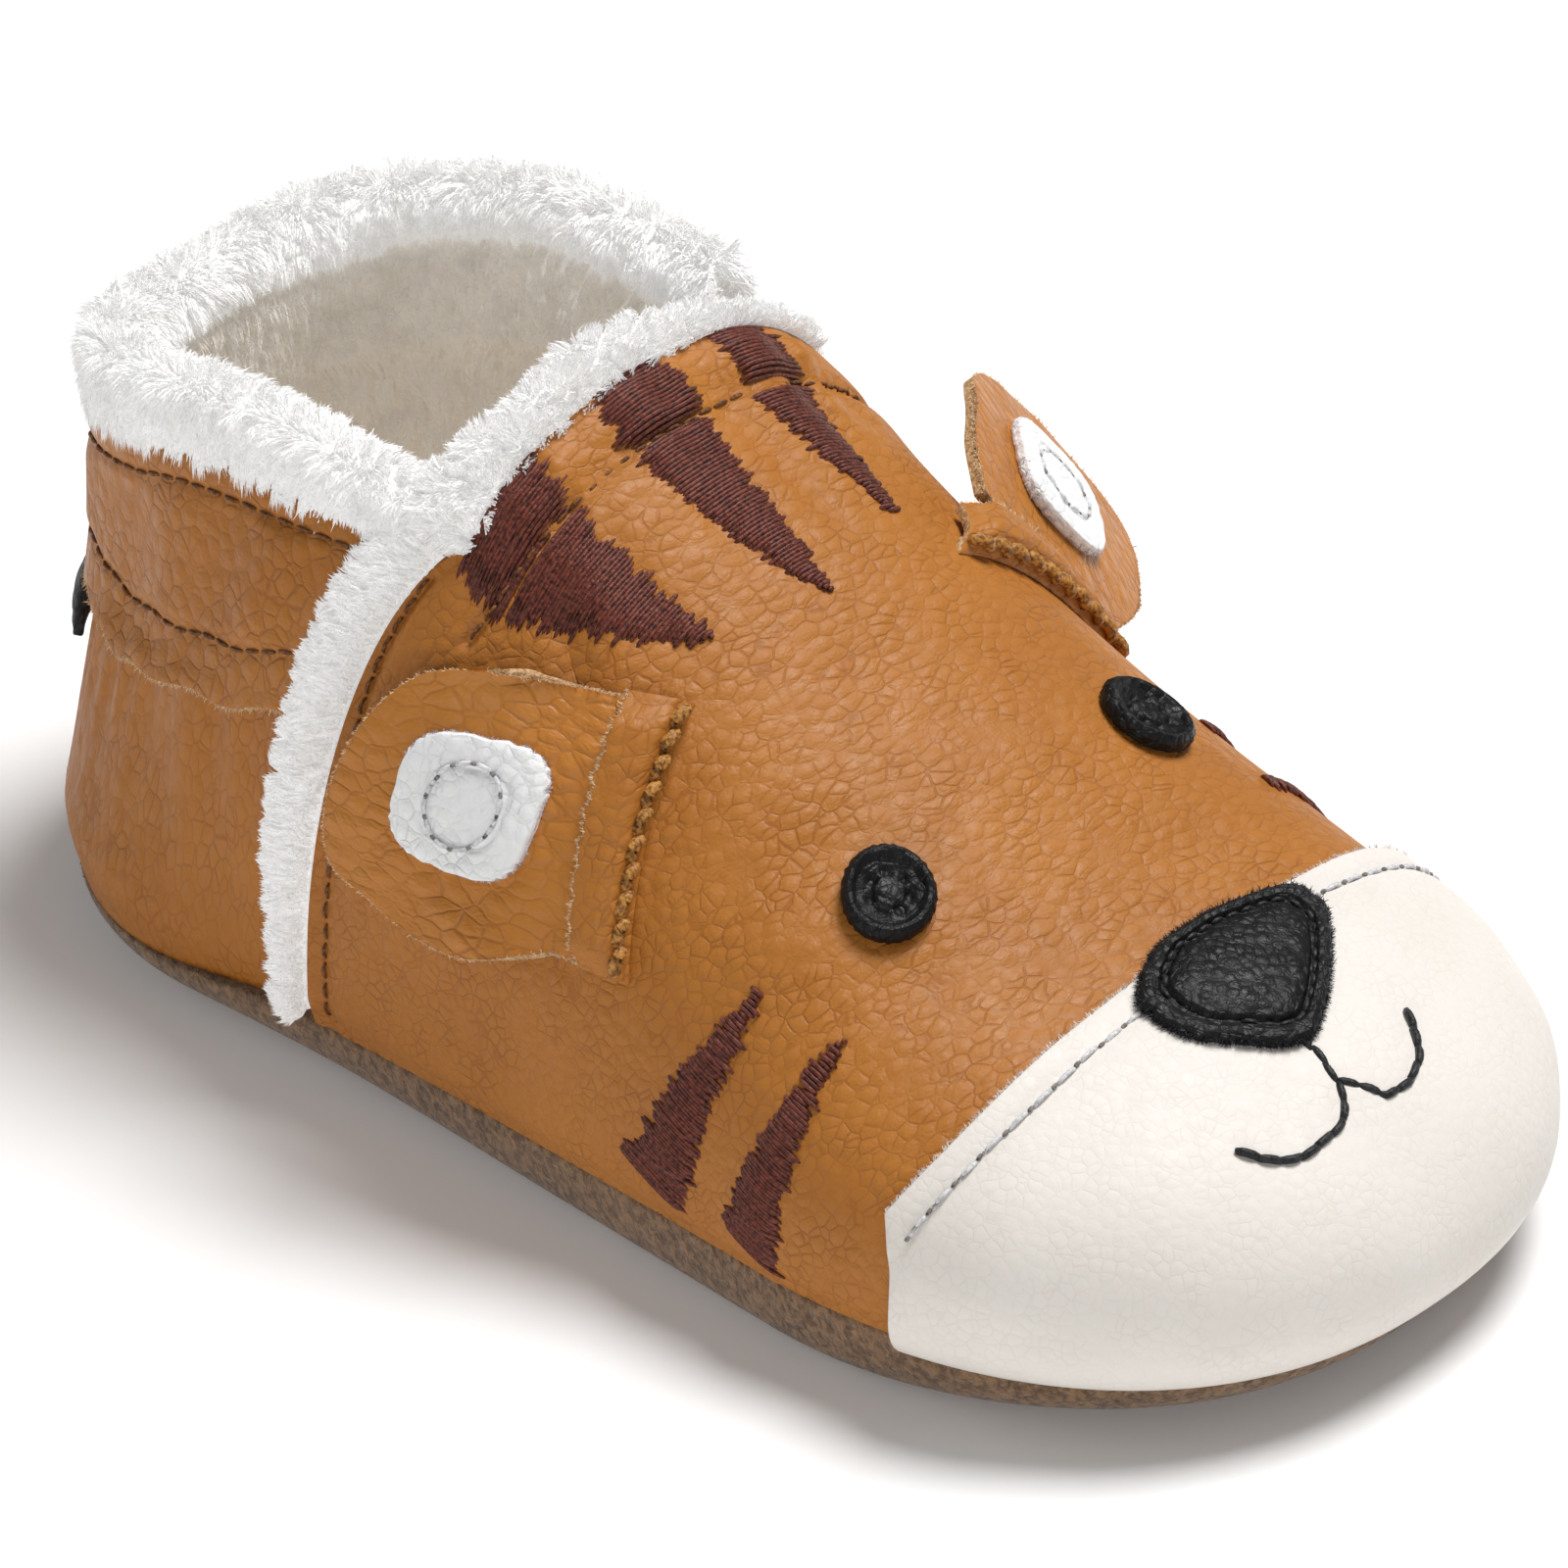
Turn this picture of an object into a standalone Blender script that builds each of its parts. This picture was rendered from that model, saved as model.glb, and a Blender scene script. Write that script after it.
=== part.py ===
"""Baby crawling shoe with an animal face.

A suede sole, a hollow leather upper, fleece trims and the sewn-on pieces of the face.
+X points to the toe, +Y to the shoe's left and +Z up. The origin is on the floor under the
middle of the shoe. Sizes are in millimetres and become metres where a mesh is made.
"""
import math

import bmesh
import bpy
import numpy as np

MM = 0.001
GAP = 0.3
SHARE_STEP = 0.004
LENGTH_STEP = 0.3
MERGE_DISTANCE = 1e-7
SHARP_ANGLE = math.radians(40)


def table(columns, rows):
    """Short table with named columns."""
    return {name: np.array(values, float) for name, values in zip(columns.split(), zip(*rows))}


# The last, seen from above: its widest line, the belly, is a rounded toe, two sides and a heel.
TOE_TIP_X = 66.0
BALL_X = 28.0
HEEL_CENTRE_X = -38.0
HEEL_TIP_X = -68.0
TOE_POWER = 2.26
HEEL_POWER = 2.1
TOE_SHARE = 0.325
HEEL_SHARE = 0.27
SIDE = table("x half_width", [(-38, 30.4), (-22, 30.5), (12, 32.2), (28, 33.2)])

# The last, seen from the side: crest of the vamp, roundness of its sections, seam height.
BELLY_Z = 9.0
TOE_BREAK_X = 40.3
TOE_ROUNDNESS = 2.2
TOP = table("x crest power", [(-24, 64.0, 2.1), (-14, 56.2, 2.4), (5, 43.8, 2.25),
                              (24, 32.5, 2.25), (40, 24.6, 2.5), (66, 20.9, 2.6)])
SEAM = table("x height", [(-68, 4.3), (-45, 4.2), (-20, 6.2), (25, 6.9), (66, 6.0)])
TUCK = 1.2
TUCK_ANGLE = math.radians(45)

# Vamp: its rear edge runs from the seam to the corner of the throat and laps over the quarter.
VAMP_EDGE_X = -23.2
THROAT_X = -14.4
THROAT_CORNER_X = -15.3
THROAT_HALF_WIDTH = 21.1
THROAT_SPREAD = 1.8
RIB_BUNCHING = 2.2
WALL = 1.8
LAP = 1.4
LAP_FADE = 0.16
LAP_THINNING = 0.08

# Quarter: its top edge is an oval round the ankle, lower at the back.
ANKLE_HALF_WIDTH = 20.8
COLLAR_FRONT_HALF_WIDTH = 19.7
COLLAR_HEEL_X = -65.9
COLLAR_POWER = 2.8
QUARTER_LEAN = 2.3
COLLAR = table("x height", [(-65.9, 41.5), (-57.5, 43.5), (-38, 47.6), (-15.3, 48.1)])

# Sole and footbed
SOLE_THICKNESS = 1.8
SOLE_RIM_PROUD = 0.3
SOLE_ROUNDNESS = 2.45
CONTACT = table("x inset", [(-68, 7.3), (-45, 7.5), (0, 3.6), (30, 3.0), (66, 11.0)])
INSOLE_THICKNESS = 2.6
INSOLE = table("share lift", [(1.0, GAP), (0.5, GAP), (0.5, INSOLE_THICKNESS), (1.0, INSOLE_THICKNESS)])

# Overlays on the upper. The face sits a little askew, as it was sewn.
FACE_SKEW = -0.045
TOE_CAP_EDGE_X = 40.3
TOE_CAP_CORNER_X = 37.2
TOE_CAP_CURVE = 6.0
TOE_CAP_SEAT = 0.45
TOE_CAP_THICKNESS = 1.1
TOE_CAP_HEM = (-0.9, -0.4)
BAND_THICKNESS = 1.1
BAND_LOW = table("x height", [(-66, 23.5), (-53.7, 25.0), (-39, 28.6), (-22, 34.0)])
BAND_BELOW_TOP = 0.8
LABEL_LOW = 20.5
LABEL_HIGH = 27.5
LABEL_HALF_SHARE = 0.14
LABEL_THICKNESS = 0.9
EYES = table("side x y", [(-1, 24.2, -14.8), (1, 22.2, 17.0)])
EYE_RADIUS = 3.85
EYE_PROFILE = table("radius height", [(0.0, 0.9), (0.5, 0.9), (0.8, 1.4), (1.0, 0.9)])
NOSE_X = 45.9
NOSE_Y = 2.2
NOSE_LENGTH = 13.2
NOSE_HALF_WIDTH = 10.2
NOSE_TAPER = 0.42
NOSE_FULLNESS = 0.9
NOSE_PROFILE = table("radius height", [(0.0, 1.5), (0.5, 1.4), (0.85, 1.1), (1.0, 0.9)])

# Ears: flaps that come out from under a sewn strip, laid on the side of the vamp and then flared.
EAR = table("x half_height centre_z", [(-21, 9.4, 29.6), (-12, 9.9, 30.4),
                                       (-5, 10.1, 31.4), (5, 7.2, 33.2)])
EAR_BASE_X = 4.1
EAR_BASE_SLANT = -1.8
EAR_END_X = -20.6
EAR_END_ROUND = 8.5
EAR_END_POWER = 2.2
EAR_STRIP = table("ahead thickness", [(3.4, 2.1), (1.7, 2.1), (0.07, 2.1)])
EAR_THICKNESS = 1.1
EAR_SEAT = 0.4
EAR_FLARE = {-1: math.radians(6), 1: math.radians(40)}
EAR_BEND = 7.0
PATCH_X = -7.6
PATCH_Z = 32.0
PATCH_HALF_LENGTH = 6.4
PATCH_HALF_HEIGHT = 5.5
PATCH_SQUARENESS = 3.2
PATCH_PROFILE = table("radius height", [(0.0, 1.2), (0.5, 1.2), (0.9, 1.2), (1.0, 1.0)])

# Fleece: strips behind the vamp's edge, a roll over the collar and a roll behind the throat.
# The lock columns say how far a lock moves each point of a section.
TRIM = table("x width", [(-1, 4.6), (0, 5.0), (0.35, 6.8), (0.9, 7.0)])
TRIM_TOP = 0.86
TRIM_SEAT = 0.4
TRIM_HEM = (-0.85, -0.3)
TRIM_PROFILE = table("across height", [(0.0, 1.9), (0.3, 2.9), (0.7, 2.6), (1.0, 0.9)])
LOCK_DEPTH = 1.1
LOCK_SWING = 1.2
LOCK_UNEVEN = table("beat size", [(2.3, 0.5), (1.1, 0.35)])
COLLAR_SECTION = table("out up lock_out lock_up", [
    (0.3, 0.4, 0.0, 0.0), (2.1, 0.4, 0.0, 0.0), (2.8, -1.3, 0.0, 0.9), (3.3, 0.6, 0.0, 0.0),
    (3.0, 4.2, 0.5, 0.0), (1.4, 7.2, 0.5, 0.6), (-1.8, 8.5, 0.5, 0.6), (-4.8, 7.4, 0.0, 0.6),
    (-6.2, 4.0, 0.0, 0.0), (-6.0, -3.0, 0.0, 0.0), (-4.8, -8.6, 0.0, 0.0), (-2.3, -9.0, 0.0, 0.0),
    (-2.2, 0.4, 0.0, 0.0)])
COLLAR_SEAT_INNER = -2.2
COLLAR_SEAT_OUTER = 2.1
COLLAR_SEAT_UP = 0.4
COLLAR_END_SCALE = 0.5
COLLAR_TAPER = 0.25
COLLAR_END_GAP = 1.2
THROAT_SECTION = table("back out lock", [
    (0.4, -1.7, 0.0), (3.0, -3.2, 0.0), (5.2, -2.2, 0.7), (6.6, 0.0, 0.7), (5.6, 1.5, 0.7),
    (3.0, 1.6, 0.0), (0.4, 0.6, 0.0)])
THROAT_TRIM_SHARE = 0.5

# Finishes: colour and roughness of each material.
FINISHES = {
    "tan_leather": ((0.50, 0.20, 0.045), 0.5),
    "cream_leather": ((0.83, 0.79, 0.74), 0.5),
    "black_leather": ((0.015, 0.016, 0.018), 0.4),
    "white_leather": ((0.78, 0.78, 0.77), 0.6),
    "suede": ((0.30, 0.18, 0.09), 0.9),
    "fleece": ((0.84, 0.81, 0.76), 0.95),
}

# Mesh counts
TOE_RIBS = 20
VAMP_SIDE_RIBS = 12
QUARTER_RIBS = 32
TUCK_ROWS = 2
WALL_ROWS = 9
SOLE_POINTS = 56
SOLE_ROWS = 5
TOE_CAP_COLUMNS = 31
TOE_CAP_ROWS = 9
BAND_COLUMNS = 33
BAND_ROWS = 5
LABEL_COLUMNS = 15
LABEL_ROWS = 4
EYE_POINTS = 16
NOSE_POINTS = 24
EAR_ROWS = 8
EAR_COLUMNS = 9
PATCH_POINTS = 20
TRIM_STATIONS = 22
COLLAR_STATIONS = 55
THROAT_STATIONS = 27


def read(source, column, x):
    """Smooth value of one table column: a cubic through the rows that never overshoots them."""
    knots = source["x"]
    values = source[column]
    step = np.diff(knots)
    slope = np.diff(values) / step
    product = slope[:-1] * slope[1:]
    rising = product > 0
    inner = np.where(rising, 2 * product / np.where(rising, slope[:-1] + slope[1:], 1.0), 0.0)
    tangent = np.concatenate([slope[:1], inner, slope[-1:]])
    x = np.clip(np.asarray(x, float), knots[0], knots[-1])
    k = np.clip(np.searchsorted(knots, x, side="right") - 1, 0, len(step) - 1)
    s = (x - knots[k]) / step[k]
    change = values[k + 1] - values[k]
    ease = s * s * (3 - 2 * s)
    start = s * (1 - s) ** 2 * tangent[k] * step[k]
    end = s * s * (s - 1) * tangent[k + 1] * step[k]
    return values[k] + change * ease + start + end


def smooth(s):
    """Ease from 0 to 1."""
    s = np.clip(s, 0, 1)
    return s * s * (3 - 2 * s)


def round_off(s, power):
    """1 at s = 0, falling to 0 at s = 1 along a superellipse."""
    return (1 - np.clip(s, 0, 1) ** power) ** (1 / power)


def half_width(x):
    """Half width of the belly at x."""
    toe = (x - BALL_X) / (TOE_TIP_X - BALL_X)
    heel = (HEEL_CENTRE_X - x) / (HEEL_CENTRE_X - HEEL_TIP_X)
    return read(SIDE, "half_width", x) * round_off(toe, TOE_POWER) * round_off(heel, HEEL_POWER)


def quarter_turn(share, power):
    """Unit superellipse quarter from (1, 0) to (0, 1)."""
    angle = np.clip(share, 0, 1) * math.pi / 2
    return np.abs(np.cos(angle)) ** (2 / power), np.abs(np.sin(angle)) ** (2 / power)


def fold(u):
    """Place u on the left half: u runs 0 at the toe to 1 at the heel, on to 2 back at the toe."""
    u = np.asarray(u, float)
    u = np.where(u > 1, u - 2, u)
    return np.abs(u), np.where(u < 0, -1.0, 1.0)


def belly(u):
    """Plan of the widest line at u."""
    u, side = fold(u)
    heel_start = 1 - HEEL_SHARE
    toe_x, toe_y = quarter_turn(u / TOE_SHARE, TOE_POWER)
    heel_y, heel_x = quarter_turn((u - heel_start) / HEEL_SHARE, HEEL_POWER)
    middle = np.clip((u - TOE_SHARE) / (heel_start - TOE_SHARE), 0, 1)
    x = BALL_X + (HEEL_CENTRE_X - BALL_X) * middle
    width = read(SIDE, "half_width", x)
    in_toe = u < TOE_SHARE
    in_heel = u > heel_start
    x = np.where(in_toe, BALL_X + (TOE_TIP_X - BALL_X) * toe_x, x)
    x = np.where(in_heel, HEEL_CENTRE_X + (HEEL_TIP_X - HEEL_CENTRE_X) * heel_x, x)
    y = width * np.where(in_toe, toe_y, np.where(in_heel, heel_y, 1.0))
    return np.stack([x, side * y], -1)


def plan_normal(u):
    """Outward direction of the belly line, seen from above."""
    along = belly(u + SHARE_STEP) - belly(u - SHARE_STEP)
    along /= np.linalg.norm(along, axis=-1, keepdims=True)
    return np.stack([along[..., 1], -along[..., 0]], -1)


def share_at_x(x):
    """The u of a point on the straight side."""
    middle = (BALL_X - x) / (BALL_X - HEEL_CENTRE_X)
    return TOE_SHARE + middle * (1 - HEEL_SHARE - TOE_SHARE)


VAMP_EDGE = share_at_x(VAMP_EDGE_X)


def rise(x):
    """Height of the vamp's crest above the belly."""
    toe = (x - TOE_BREAK_X) / (TOE_TIP_X - TOE_BREAK_X)
    return (read(TOP, "crest", x) - BELLY_Z) * round_off(toe, TOE_ROUNDNESS)


def dome(x, y):
    """Height of the vamp above the floor over the plan point x, y."""
    across = np.abs(y) / np.maximum(half_width(x), MERGE_DISTANCE)
    return BELLY_Z + rise(x) * round_off(across, read(TOP, "power", x))


def tuck(foot, outward, w):
    """Wall below the belly, which curls in to the seam: w is -1 at the seam, 0 at the belly."""
    angle = -w * TUCK_ANGLE
    inset = TUCK * (1 - np.cos(angle)) / (1 - math.cos(TUCK_ANGLE))
    plan = foot - outward * inset[..., None]
    drop = (BELLY_Z - read(SEAM, "height", foot[..., 0])) * np.sin(angle) / math.sin(TUCK_ANGLE)
    return np.concatenate([plan, (BELLY_Z - drop)[..., None]], -1)


def vamp(u, w):
    """Outer face of the vamp: w is -1 at the seam, 0 at the belly and 1 at the throat."""
    u, w = np.broadcast_arrays(np.asarray(u, float), np.asarray(w, float))
    foot = belly(u)
    share = np.where(u > 1, u - 2, u) / VAMP_EDGE
    spread = 1 - np.maximum(1 - np.abs(share), 0) ** THROAT_SPREAD
    throat_y = THROAT_HALF_WIDTH * np.sign(share) * spread
    throat_x = THROAT_X + (THROAT_CORNER_X - THROAT_X) * share ** 2
    q = np.maximum(w, 0)[..., None] ** RIB_BUNCHING
    plan = foot + (np.stack([throat_x, throat_y], -1) - foot) * q
    top = np.concatenate([plan, dome(plan[..., 0], plan[..., 1])[..., None]], -1)
    return np.where(w[..., None] < 0, tuck(foot, plan_normal(u), np.minimum(w, 0)), top)


def collar_plan(u):
    """Plan of the quarter's top edge."""
    u, side = fold(u)
    front = (u - VAMP_EDGE) / (1 - HEEL_SHARE - VAMP_EDGE)
    x = THROAT_CORNER_X + (HEEL_CENTRE_X - THROAT_CORNER_X) * front
    y = COLLAR_FRONT_HALF_WIDTH + (ANKLE_HALF_WIDTH - COLLAR_FRONT_HALF_WIDTH) * smooth(front)
    heel_y, heel_x = quarter_turn((u - 1 + HEEL_SHARE) / HEEL_SHARE, COLLAR_POWER)
    in_heel = u > 1 - HEEL_SHARE
    x = np.where(in_heel, HEEL_CENTRE_X + (COLLAR_HEEL_X - HEEL_CENTRE_X) * heel_x, x)
    y = np.where(in_heel, ANKLE_HALF_WIDTH * heel_y, y)
    return np.stack([x, side * y], -1)


def plain_quarter(u, w, fade):
    """Quarter before it is fitted under the vamp's edge."""
    outward = plan_normal(u)
    foot = belly(u) - outward * (LAP * fade)[..., None]
    top = collar_plan(u)
    lean = 1 - (1 - np.clip(w, 0, 1)) ** QUARTER_LEAN
    plan = foot + (top - foot) * lean[..., None]
    height = BELLY_Z + (read(COLLAR, "height", top[..., 0]) - BELLY_Z) * w
    upper_part = np.concatenate([plan, height[..., None]], -1)
    return np.where(w[..., None] < 0, tuck(foot, outward, np.minimum(w, 0)), upper_part)


def quarter(u, w):
    """Outer face of the quarter, which passes under the vamp at both of its front edges."""
    u, w = np.broadcast_arrays(np.asarray(u, float), np.asarray(w, float))
    left = u <= 1
    edge = np.where(left, VAMP_EDGE, 2 - VAMP_EDGE)
    fade = smooth(1 - np.abs(u - edge) / LAP_FADE)
    fitted = offset(vamp, edge, w, -LAP) - plain_quarter(edge, w, np.ones_like(w))
    return plain_quarter(u, w, fade) + fitted * fade[..., None]


def normal(surface, u, w):
    """Outward normal of a surface."""
    along = surface(u + SHARE_STEP, w) - surface(u - SHARE_STEP, w)
    up = surface(u, w + SHARE_STEP) - surface(u, w - SHARE_STEP)
    across = np.cross(along, up)
    return across / np.linalg.norm(across, axis=-1, keepdims=True)


def offset(surface, u, w, distance):
    """Point of a surface moved along its normal."""
    u, w = np.broadcast_arrays(np.asarray(u, float), np.asarray(w, float))
    distance = np.broadcast_to(np.asarray(distance, float), u.shape)
    return surface(u, w) + normal(surface, u, w) * distance[..., None]


def make_material(name, colour, roughness):
    """Plain finish of one piece."""
    material = bpy.data.materials.new(name)
    material.use_nodes = True
    shader = material.node_tree.nodes["Principled BSDF"]
    shader.inputs["Base Color"].default_value = (*colour, 1.0)
    shader.inputs["Roughness"].default_value = roughness
    return material


def make_solid(name, points, faces, material):
    """One closed object from points in millimetres."""
    shape = bmesh.new()
    verts = [shape.verts.new(tuple(float(c) * MM for c in p)) for p in points]
    for face in faces:
        shape.faces.new([verts[i] for i in face])
    bmesh.ops.remove_doubles(shape, verts=shape.verts, dist=MERGE_DISTANCE)
    bmesh.ops.recalc_face_normals(shape, faces=shape.faces)
    mesh = bpy.data.meshes.new(name)
    shape.to_mesh(mesh)
    shape.free()
    mesh.shade_smooth()
    mesh.set_sharp_from_angle(angle=SHARP_ANGLE)
    mesh.materials.append(material)
    solid = bpy.data.objects.new(name, mesh)
    bpy.context.scene.collection.objects.link(solid)
    return solid


def grid_faces(rows, columns, first, wrap_rows=False):
    """Quads over a grid of points numbered row by row."""
    faces = []
    for i in range(rows if wrap_rows else rows - 1):
        for j in range(columns - 1):
            a = first + i * columns + j
            b = first + ((i + 1) % rows) * columns + j
            faces.append((a, b, b + 1, a + 1))
    return faces


def slab(name, lower, upper, material):
    """Closed sheet between two grids of the same size."""
    rows, columns = lower.shape[:2]
    count = rows * columns
    faces = grid_faces(rows, columns, 0) + grid_faces(rows, columns, count)
    rim = [(i, 0) for i in range(rows)]
    rim += [(rows - 1, j) for j in range(1, columns)]
    rim += [(i, columns - 1) for i in range(rows - 2, -1, -1)]
    rim += [(0, j) for j in range(columns - 2, 0, -1)]
    loop = [i * columns + j for i, j in rim]
    for a, b in zip(loop, loop[1:] + loop[:1]):
        faces.append((a, b, b + count, a + count))
    points = np.concatenate([lower.reshape(-1, 3), upper.reshape(-1, 3)])
    return make_solid(name, points, faces, material)


def ring_stack(name, rings, material, close_ends):
    """Closed rings joined in order: the last joins the first, or both ends are capped."""
    rings = np.asarray(rings)
    count, around = rings.shape[:2]
    faces = []
    for k in range(count - 1 if close_ends else count):
        below = k * around
        above = (k + 1) % count * around
        for i in range(around):
            j = (i + 1) % around
            faces.append((below + i, below + j, above + j, above + i))
    if close_ends:
        faces.append(tuple(range(around)))
        faces.append(tuple(range((count - 1) * around, count * around)))
    return make_solid(name, rings.reshape(-1, 3), faces, material)


def wall_rows():
    """Row places from the seam to the top edge."""
    below = np.linspace(-1, 0, TUCK_ROWS, endpoint=False)
    return np.concatenate([below, np.linspace(0, 1, WALL_ROWS + 1)])


def build_upper(material):
    """Vamp and quarter: one hollow wall, open at the collar, throat and underneath."""
    w = wall_rows()
    toe = np.linspace(-TOE_SHARE, TOE_SHARE, TOE_RIBS + 1)
    side = np.linspace(TOE_SHARE, VAMP_EDGE, VAMP_SIDE_RIBS + 1)[1:]
    vamp_u = np.concatenate([-side[::-1], toe, side])[:, None]
    quarter_u = np.linspace(VAMP_EDGE, 2 - VAMP_EDGE, QUARTER_RIBS + 1)[:, None]
    thick = WALL + LAP * smooth(1 - (VAMP_EDGE - np.abs(vamp_u)) / LAP_THINNING)
    vamp_in = offset(vamp, vamp_u, w[None], -thick)
    quarter_in = offset(quarter, quarter_u, w[None], -WALL)
    quarter_in[0] = vamp_in[-1]
    quarter_in[-1] = vamp_in[0]
    outer = np.concatenate([vamp(vamp_u, w[None]), quarter(quarter_u, w[None])])
    inner = np.concatenate([vamp_in, quarter_in])
    inner[:, 0] = flat_rim(outer[:, 0], inner[:, 0])
    rings = np.concatenate([outer.transpose(1, 0, 2), inner.transpose(1, 0, 2)[::-1]])
    return ring_stack("upper", rings, material, close_ends=False)


def flat_rim(outer_ring, inner_ring):
    """Level lower rim, as wide as the wall is thick."""
    inward = (inner_ring - outer_ring)[:, :2]
    reach = np.linalg.norm(inner_ring - outer_ring, axis=1, keepdims=True)
    inward = inward / np.linalg.norm(inward, axis=1, keepdims=True) * reach
    return np.concatenate([outer_ring[:, :2] + inward, outer_ring[:, 2:]], 1)


def sole_ring(u, share, inner):
    """Ring of the dished sole: share is 0 at the seam and 1 at the edge of the floor contact."""
    outward = plan_normal(u)
    edge = belly(u) - outward * (TUCK - SOLE_RIM_PROUD)
    rim_z = read(SEAM, "height", edge[:, 0]) - GAP
    reach = read(CONTACT, "inset", edge[:, 0])
    down, across = quarter_turn(np.full(len(u), 1 - share), SOLE_ROUNDNESS)
    thickness = SOLE_THICKNESS if inner else 0.0
    plan = edge - outward * (thickness + (reach - thickness) * (1 - across))[:, None]
    height = thickness + (rim_z - thickness) * (1 - down)
    return np.concatenate([plan, height[:, None]], 1)


def build_outsole(material):
    """Suede sole: flat under heel and forefoot, dished up to the seam, sprung at the toe."""
    u = np.linspace(0, 2, SOLE_POINTS, endpoint=False)
    shares = np.linspace(0, 1, SOLE_ROWS)
    outer = [sole_ring(u, s, inner=False) for s in shares[::-1]]
    inner = [sole_ring(u, s, inner=True) for s in shares]
    return ring_stack("outsole", outer + inner, material, close_ends=True)


def build_insole(material):
    """Fleece footbed that lies in the dish of the sole."""
    u = np.linspace(0, 2, SOLE_POINTS, endpoint=False)
    inset = -plan_normal(u) * 2 * GAP
    rings = []
    for share, lift in zip(INSOLE["share"], INSOLE["lift"]):
        ring = sole_ring(u, share, inner=True)
        ring[:, :2] += inset
        ring[:, 2] += lift
        rings.append(ring)
    return ring_stack("insole", rings, material, close_ends=True)


def toe_cap_edge(y):
    """x of the toe cap's rear edge."""
    reach = np.abs(y) / half_width(TOE_CAP_CORNER_X)
    straight = TOE_CAP_EDGE_X + (TOE_CAP_CORNER_X - TOE_CAP_EDGE_X) * reach ** TOE_CAP_CURVE
    return straight + FACE_SKEW * y * (1 - reach ** TOE_CAP_CURVE)


def toe_cap(s, w):
    """Vamp face under the toe cap: s runs -1 to 1 round the toe, w from the seam to the cap's edge."""
    s, w = np.broadcast_arrays(np.asarray(s, float), np.asarray(w, float))
    corner = half_width(TOE_CAP_CORNER_X)
    corner_turn = math.asin((corner / half_width(BALL_X)) ** (TOE_POWER / 2)) / (math.pi / 2)
    u = s * TOE_SHARE * corner_turn
    foot = belly(u)
    edge = np.stack([toe_cap_edge(corner * s), corner * s], -1)
    q = np.maximum(w, 0)[..., None] ** RIB_BUNCHING
    plan = foot + (edge - foot) * q
    top = np.concatenate([plan, dome(plan[..., 0], plan[..., 1])[..., None]], -1)
    return np.where(w[..., None] < 0, tuck(foot, plan_normal(u), np.minimum(w, 0)), top)


def skin(x, y, height):
    """Point at a height above the vamp over a plan point."""
    slope_x, slope_y = slopes(x, y)
    across = np.stack([-slope_x, -slope_y, np.ones_like(slope_x)], -1)
    across /= np.linalg.norm(across, axis=-1, keepdims=True)
    return np.stack([x, y, dome(x, y)], -1) + across * height


def slopes(x, y):
    """Slopes of the vamp along and across the shoe."""
    along = dome(x + LENGTH_STEP, y) - dome(x - LENGTH_STEP, y)
    across = dome(x, y + LENGTH_STEP) - dome(x, y - LENGTH_STEP)
    return along / (2 * LENGTH_STEP), across / (2 * LENGTH_STEP)


def build_toe_cap(material):
    """Cream leather overlay on the toe."""
    s = np.linspace(-1, 1, TOE_CAP_COLUMNS)[1:-1, None]
    w = np.concatenate([TOE_CAP_HEM, np.linspace(0, 1, TOE_CAP_ROWS)])[None]
    near = offset(toe_cap, s, w, TOE_CAP_SEAT)
    far = offset(toe_cap, s, w, TOE_CAP_SEAT + TOE_CAP_THICKNESS)
    return slab("toe_cap", near, far, material)


def build_collar_band(material):
    """Casing strip sewn round the upper half of the quarter."""
    start = VAMP_EDGE + share_of(GAP + read(TRIM, "width", TRIM_TOP) + LOCK_DEPTH)
    u = np.linspace(start, 2 - start, BAND_COLUMNS)[:, None]
    top = read(COLLAR, "height", collar_plan(u)[..., 0])
    low = read(BAND_LOW, "height", collar_plan(u)[..., 0])
    rows = np.linspace(0, 1, BAND_ROWS)[None]
    height = low + (top - BAND_BELOW_TOP - low) * rows
    w = (height - BELLY_Z) / (top - BELLY_Z)
    near = offset(quarter, u, w, GAP)
    far = offset(quarter, u, w, GAP + BAND_THICKNESS)
    return slab("collar_band", near, far, material)


def build_heel_label(material):
    """Bare black tape across the heel, over the band's lower edge."""
    u = np.linspace(1 - LABEL_HALF_SHARE, 1 + LABEL_HALF_SHARE, LABEL_COLUMNS)[:, None]
    top = read(COLLAR, "height", collar_plan(u)[..., 0])
    height = np.linspace(LABEL_LOW, LABEL_HIGH, LABEL_ROWS)[None]
    w = (height - BELLY_Z) / (top - BELLY_Z)
    base = 2 * GAP + BAND_THICKNESS
    near = offset(quarter, u, w, base)
    far = offset(quarter, u, w, base + LABEL_THICKNESS)
    return slab("heel_label", near, far, material)


def share_of(length):
    """Step of u along the straight side for a length."""
    return length * (1 - HEEL_SHARE - TOE_SHARE) / (BALL_X - HEEL_CENTRE_X)


def patch(name, outline, place, profile, material):
    """Domed patch: rings of a closed outline round its middle, placed on a surface."""
    middle = outline.mean(0)
    radii = profile["radius"]
    heights = profile["height"]
    lower = [place(middle + (outline - middle) * r, 0.0) for r in radii[1:]]
    upper = [place(middle + (outline - middle) * r, h) for r, h in zip(radii[1:], heights[1:])]
    centre = middle[None]
    around = len(outline)
    rings = lower + upper[::-1]
    points = np.concatenate([place(centre, 0.0)] + rings + [place(centre, heights[0])])
    last = len(points) - 1
    faces = []
    for i in range(around):
        j = (i + 1) % around
        faces.append((0, 1 + i, 1 + j))
        faces.append((last, last - around + i, last - around + j))
        for k in range(len(rings) - 1):
            a = 1 + k * around
            faces.append((a + i, a + j, a + around + j, a + around + i))
    return make_solid(name, points, faces, material)


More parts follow.
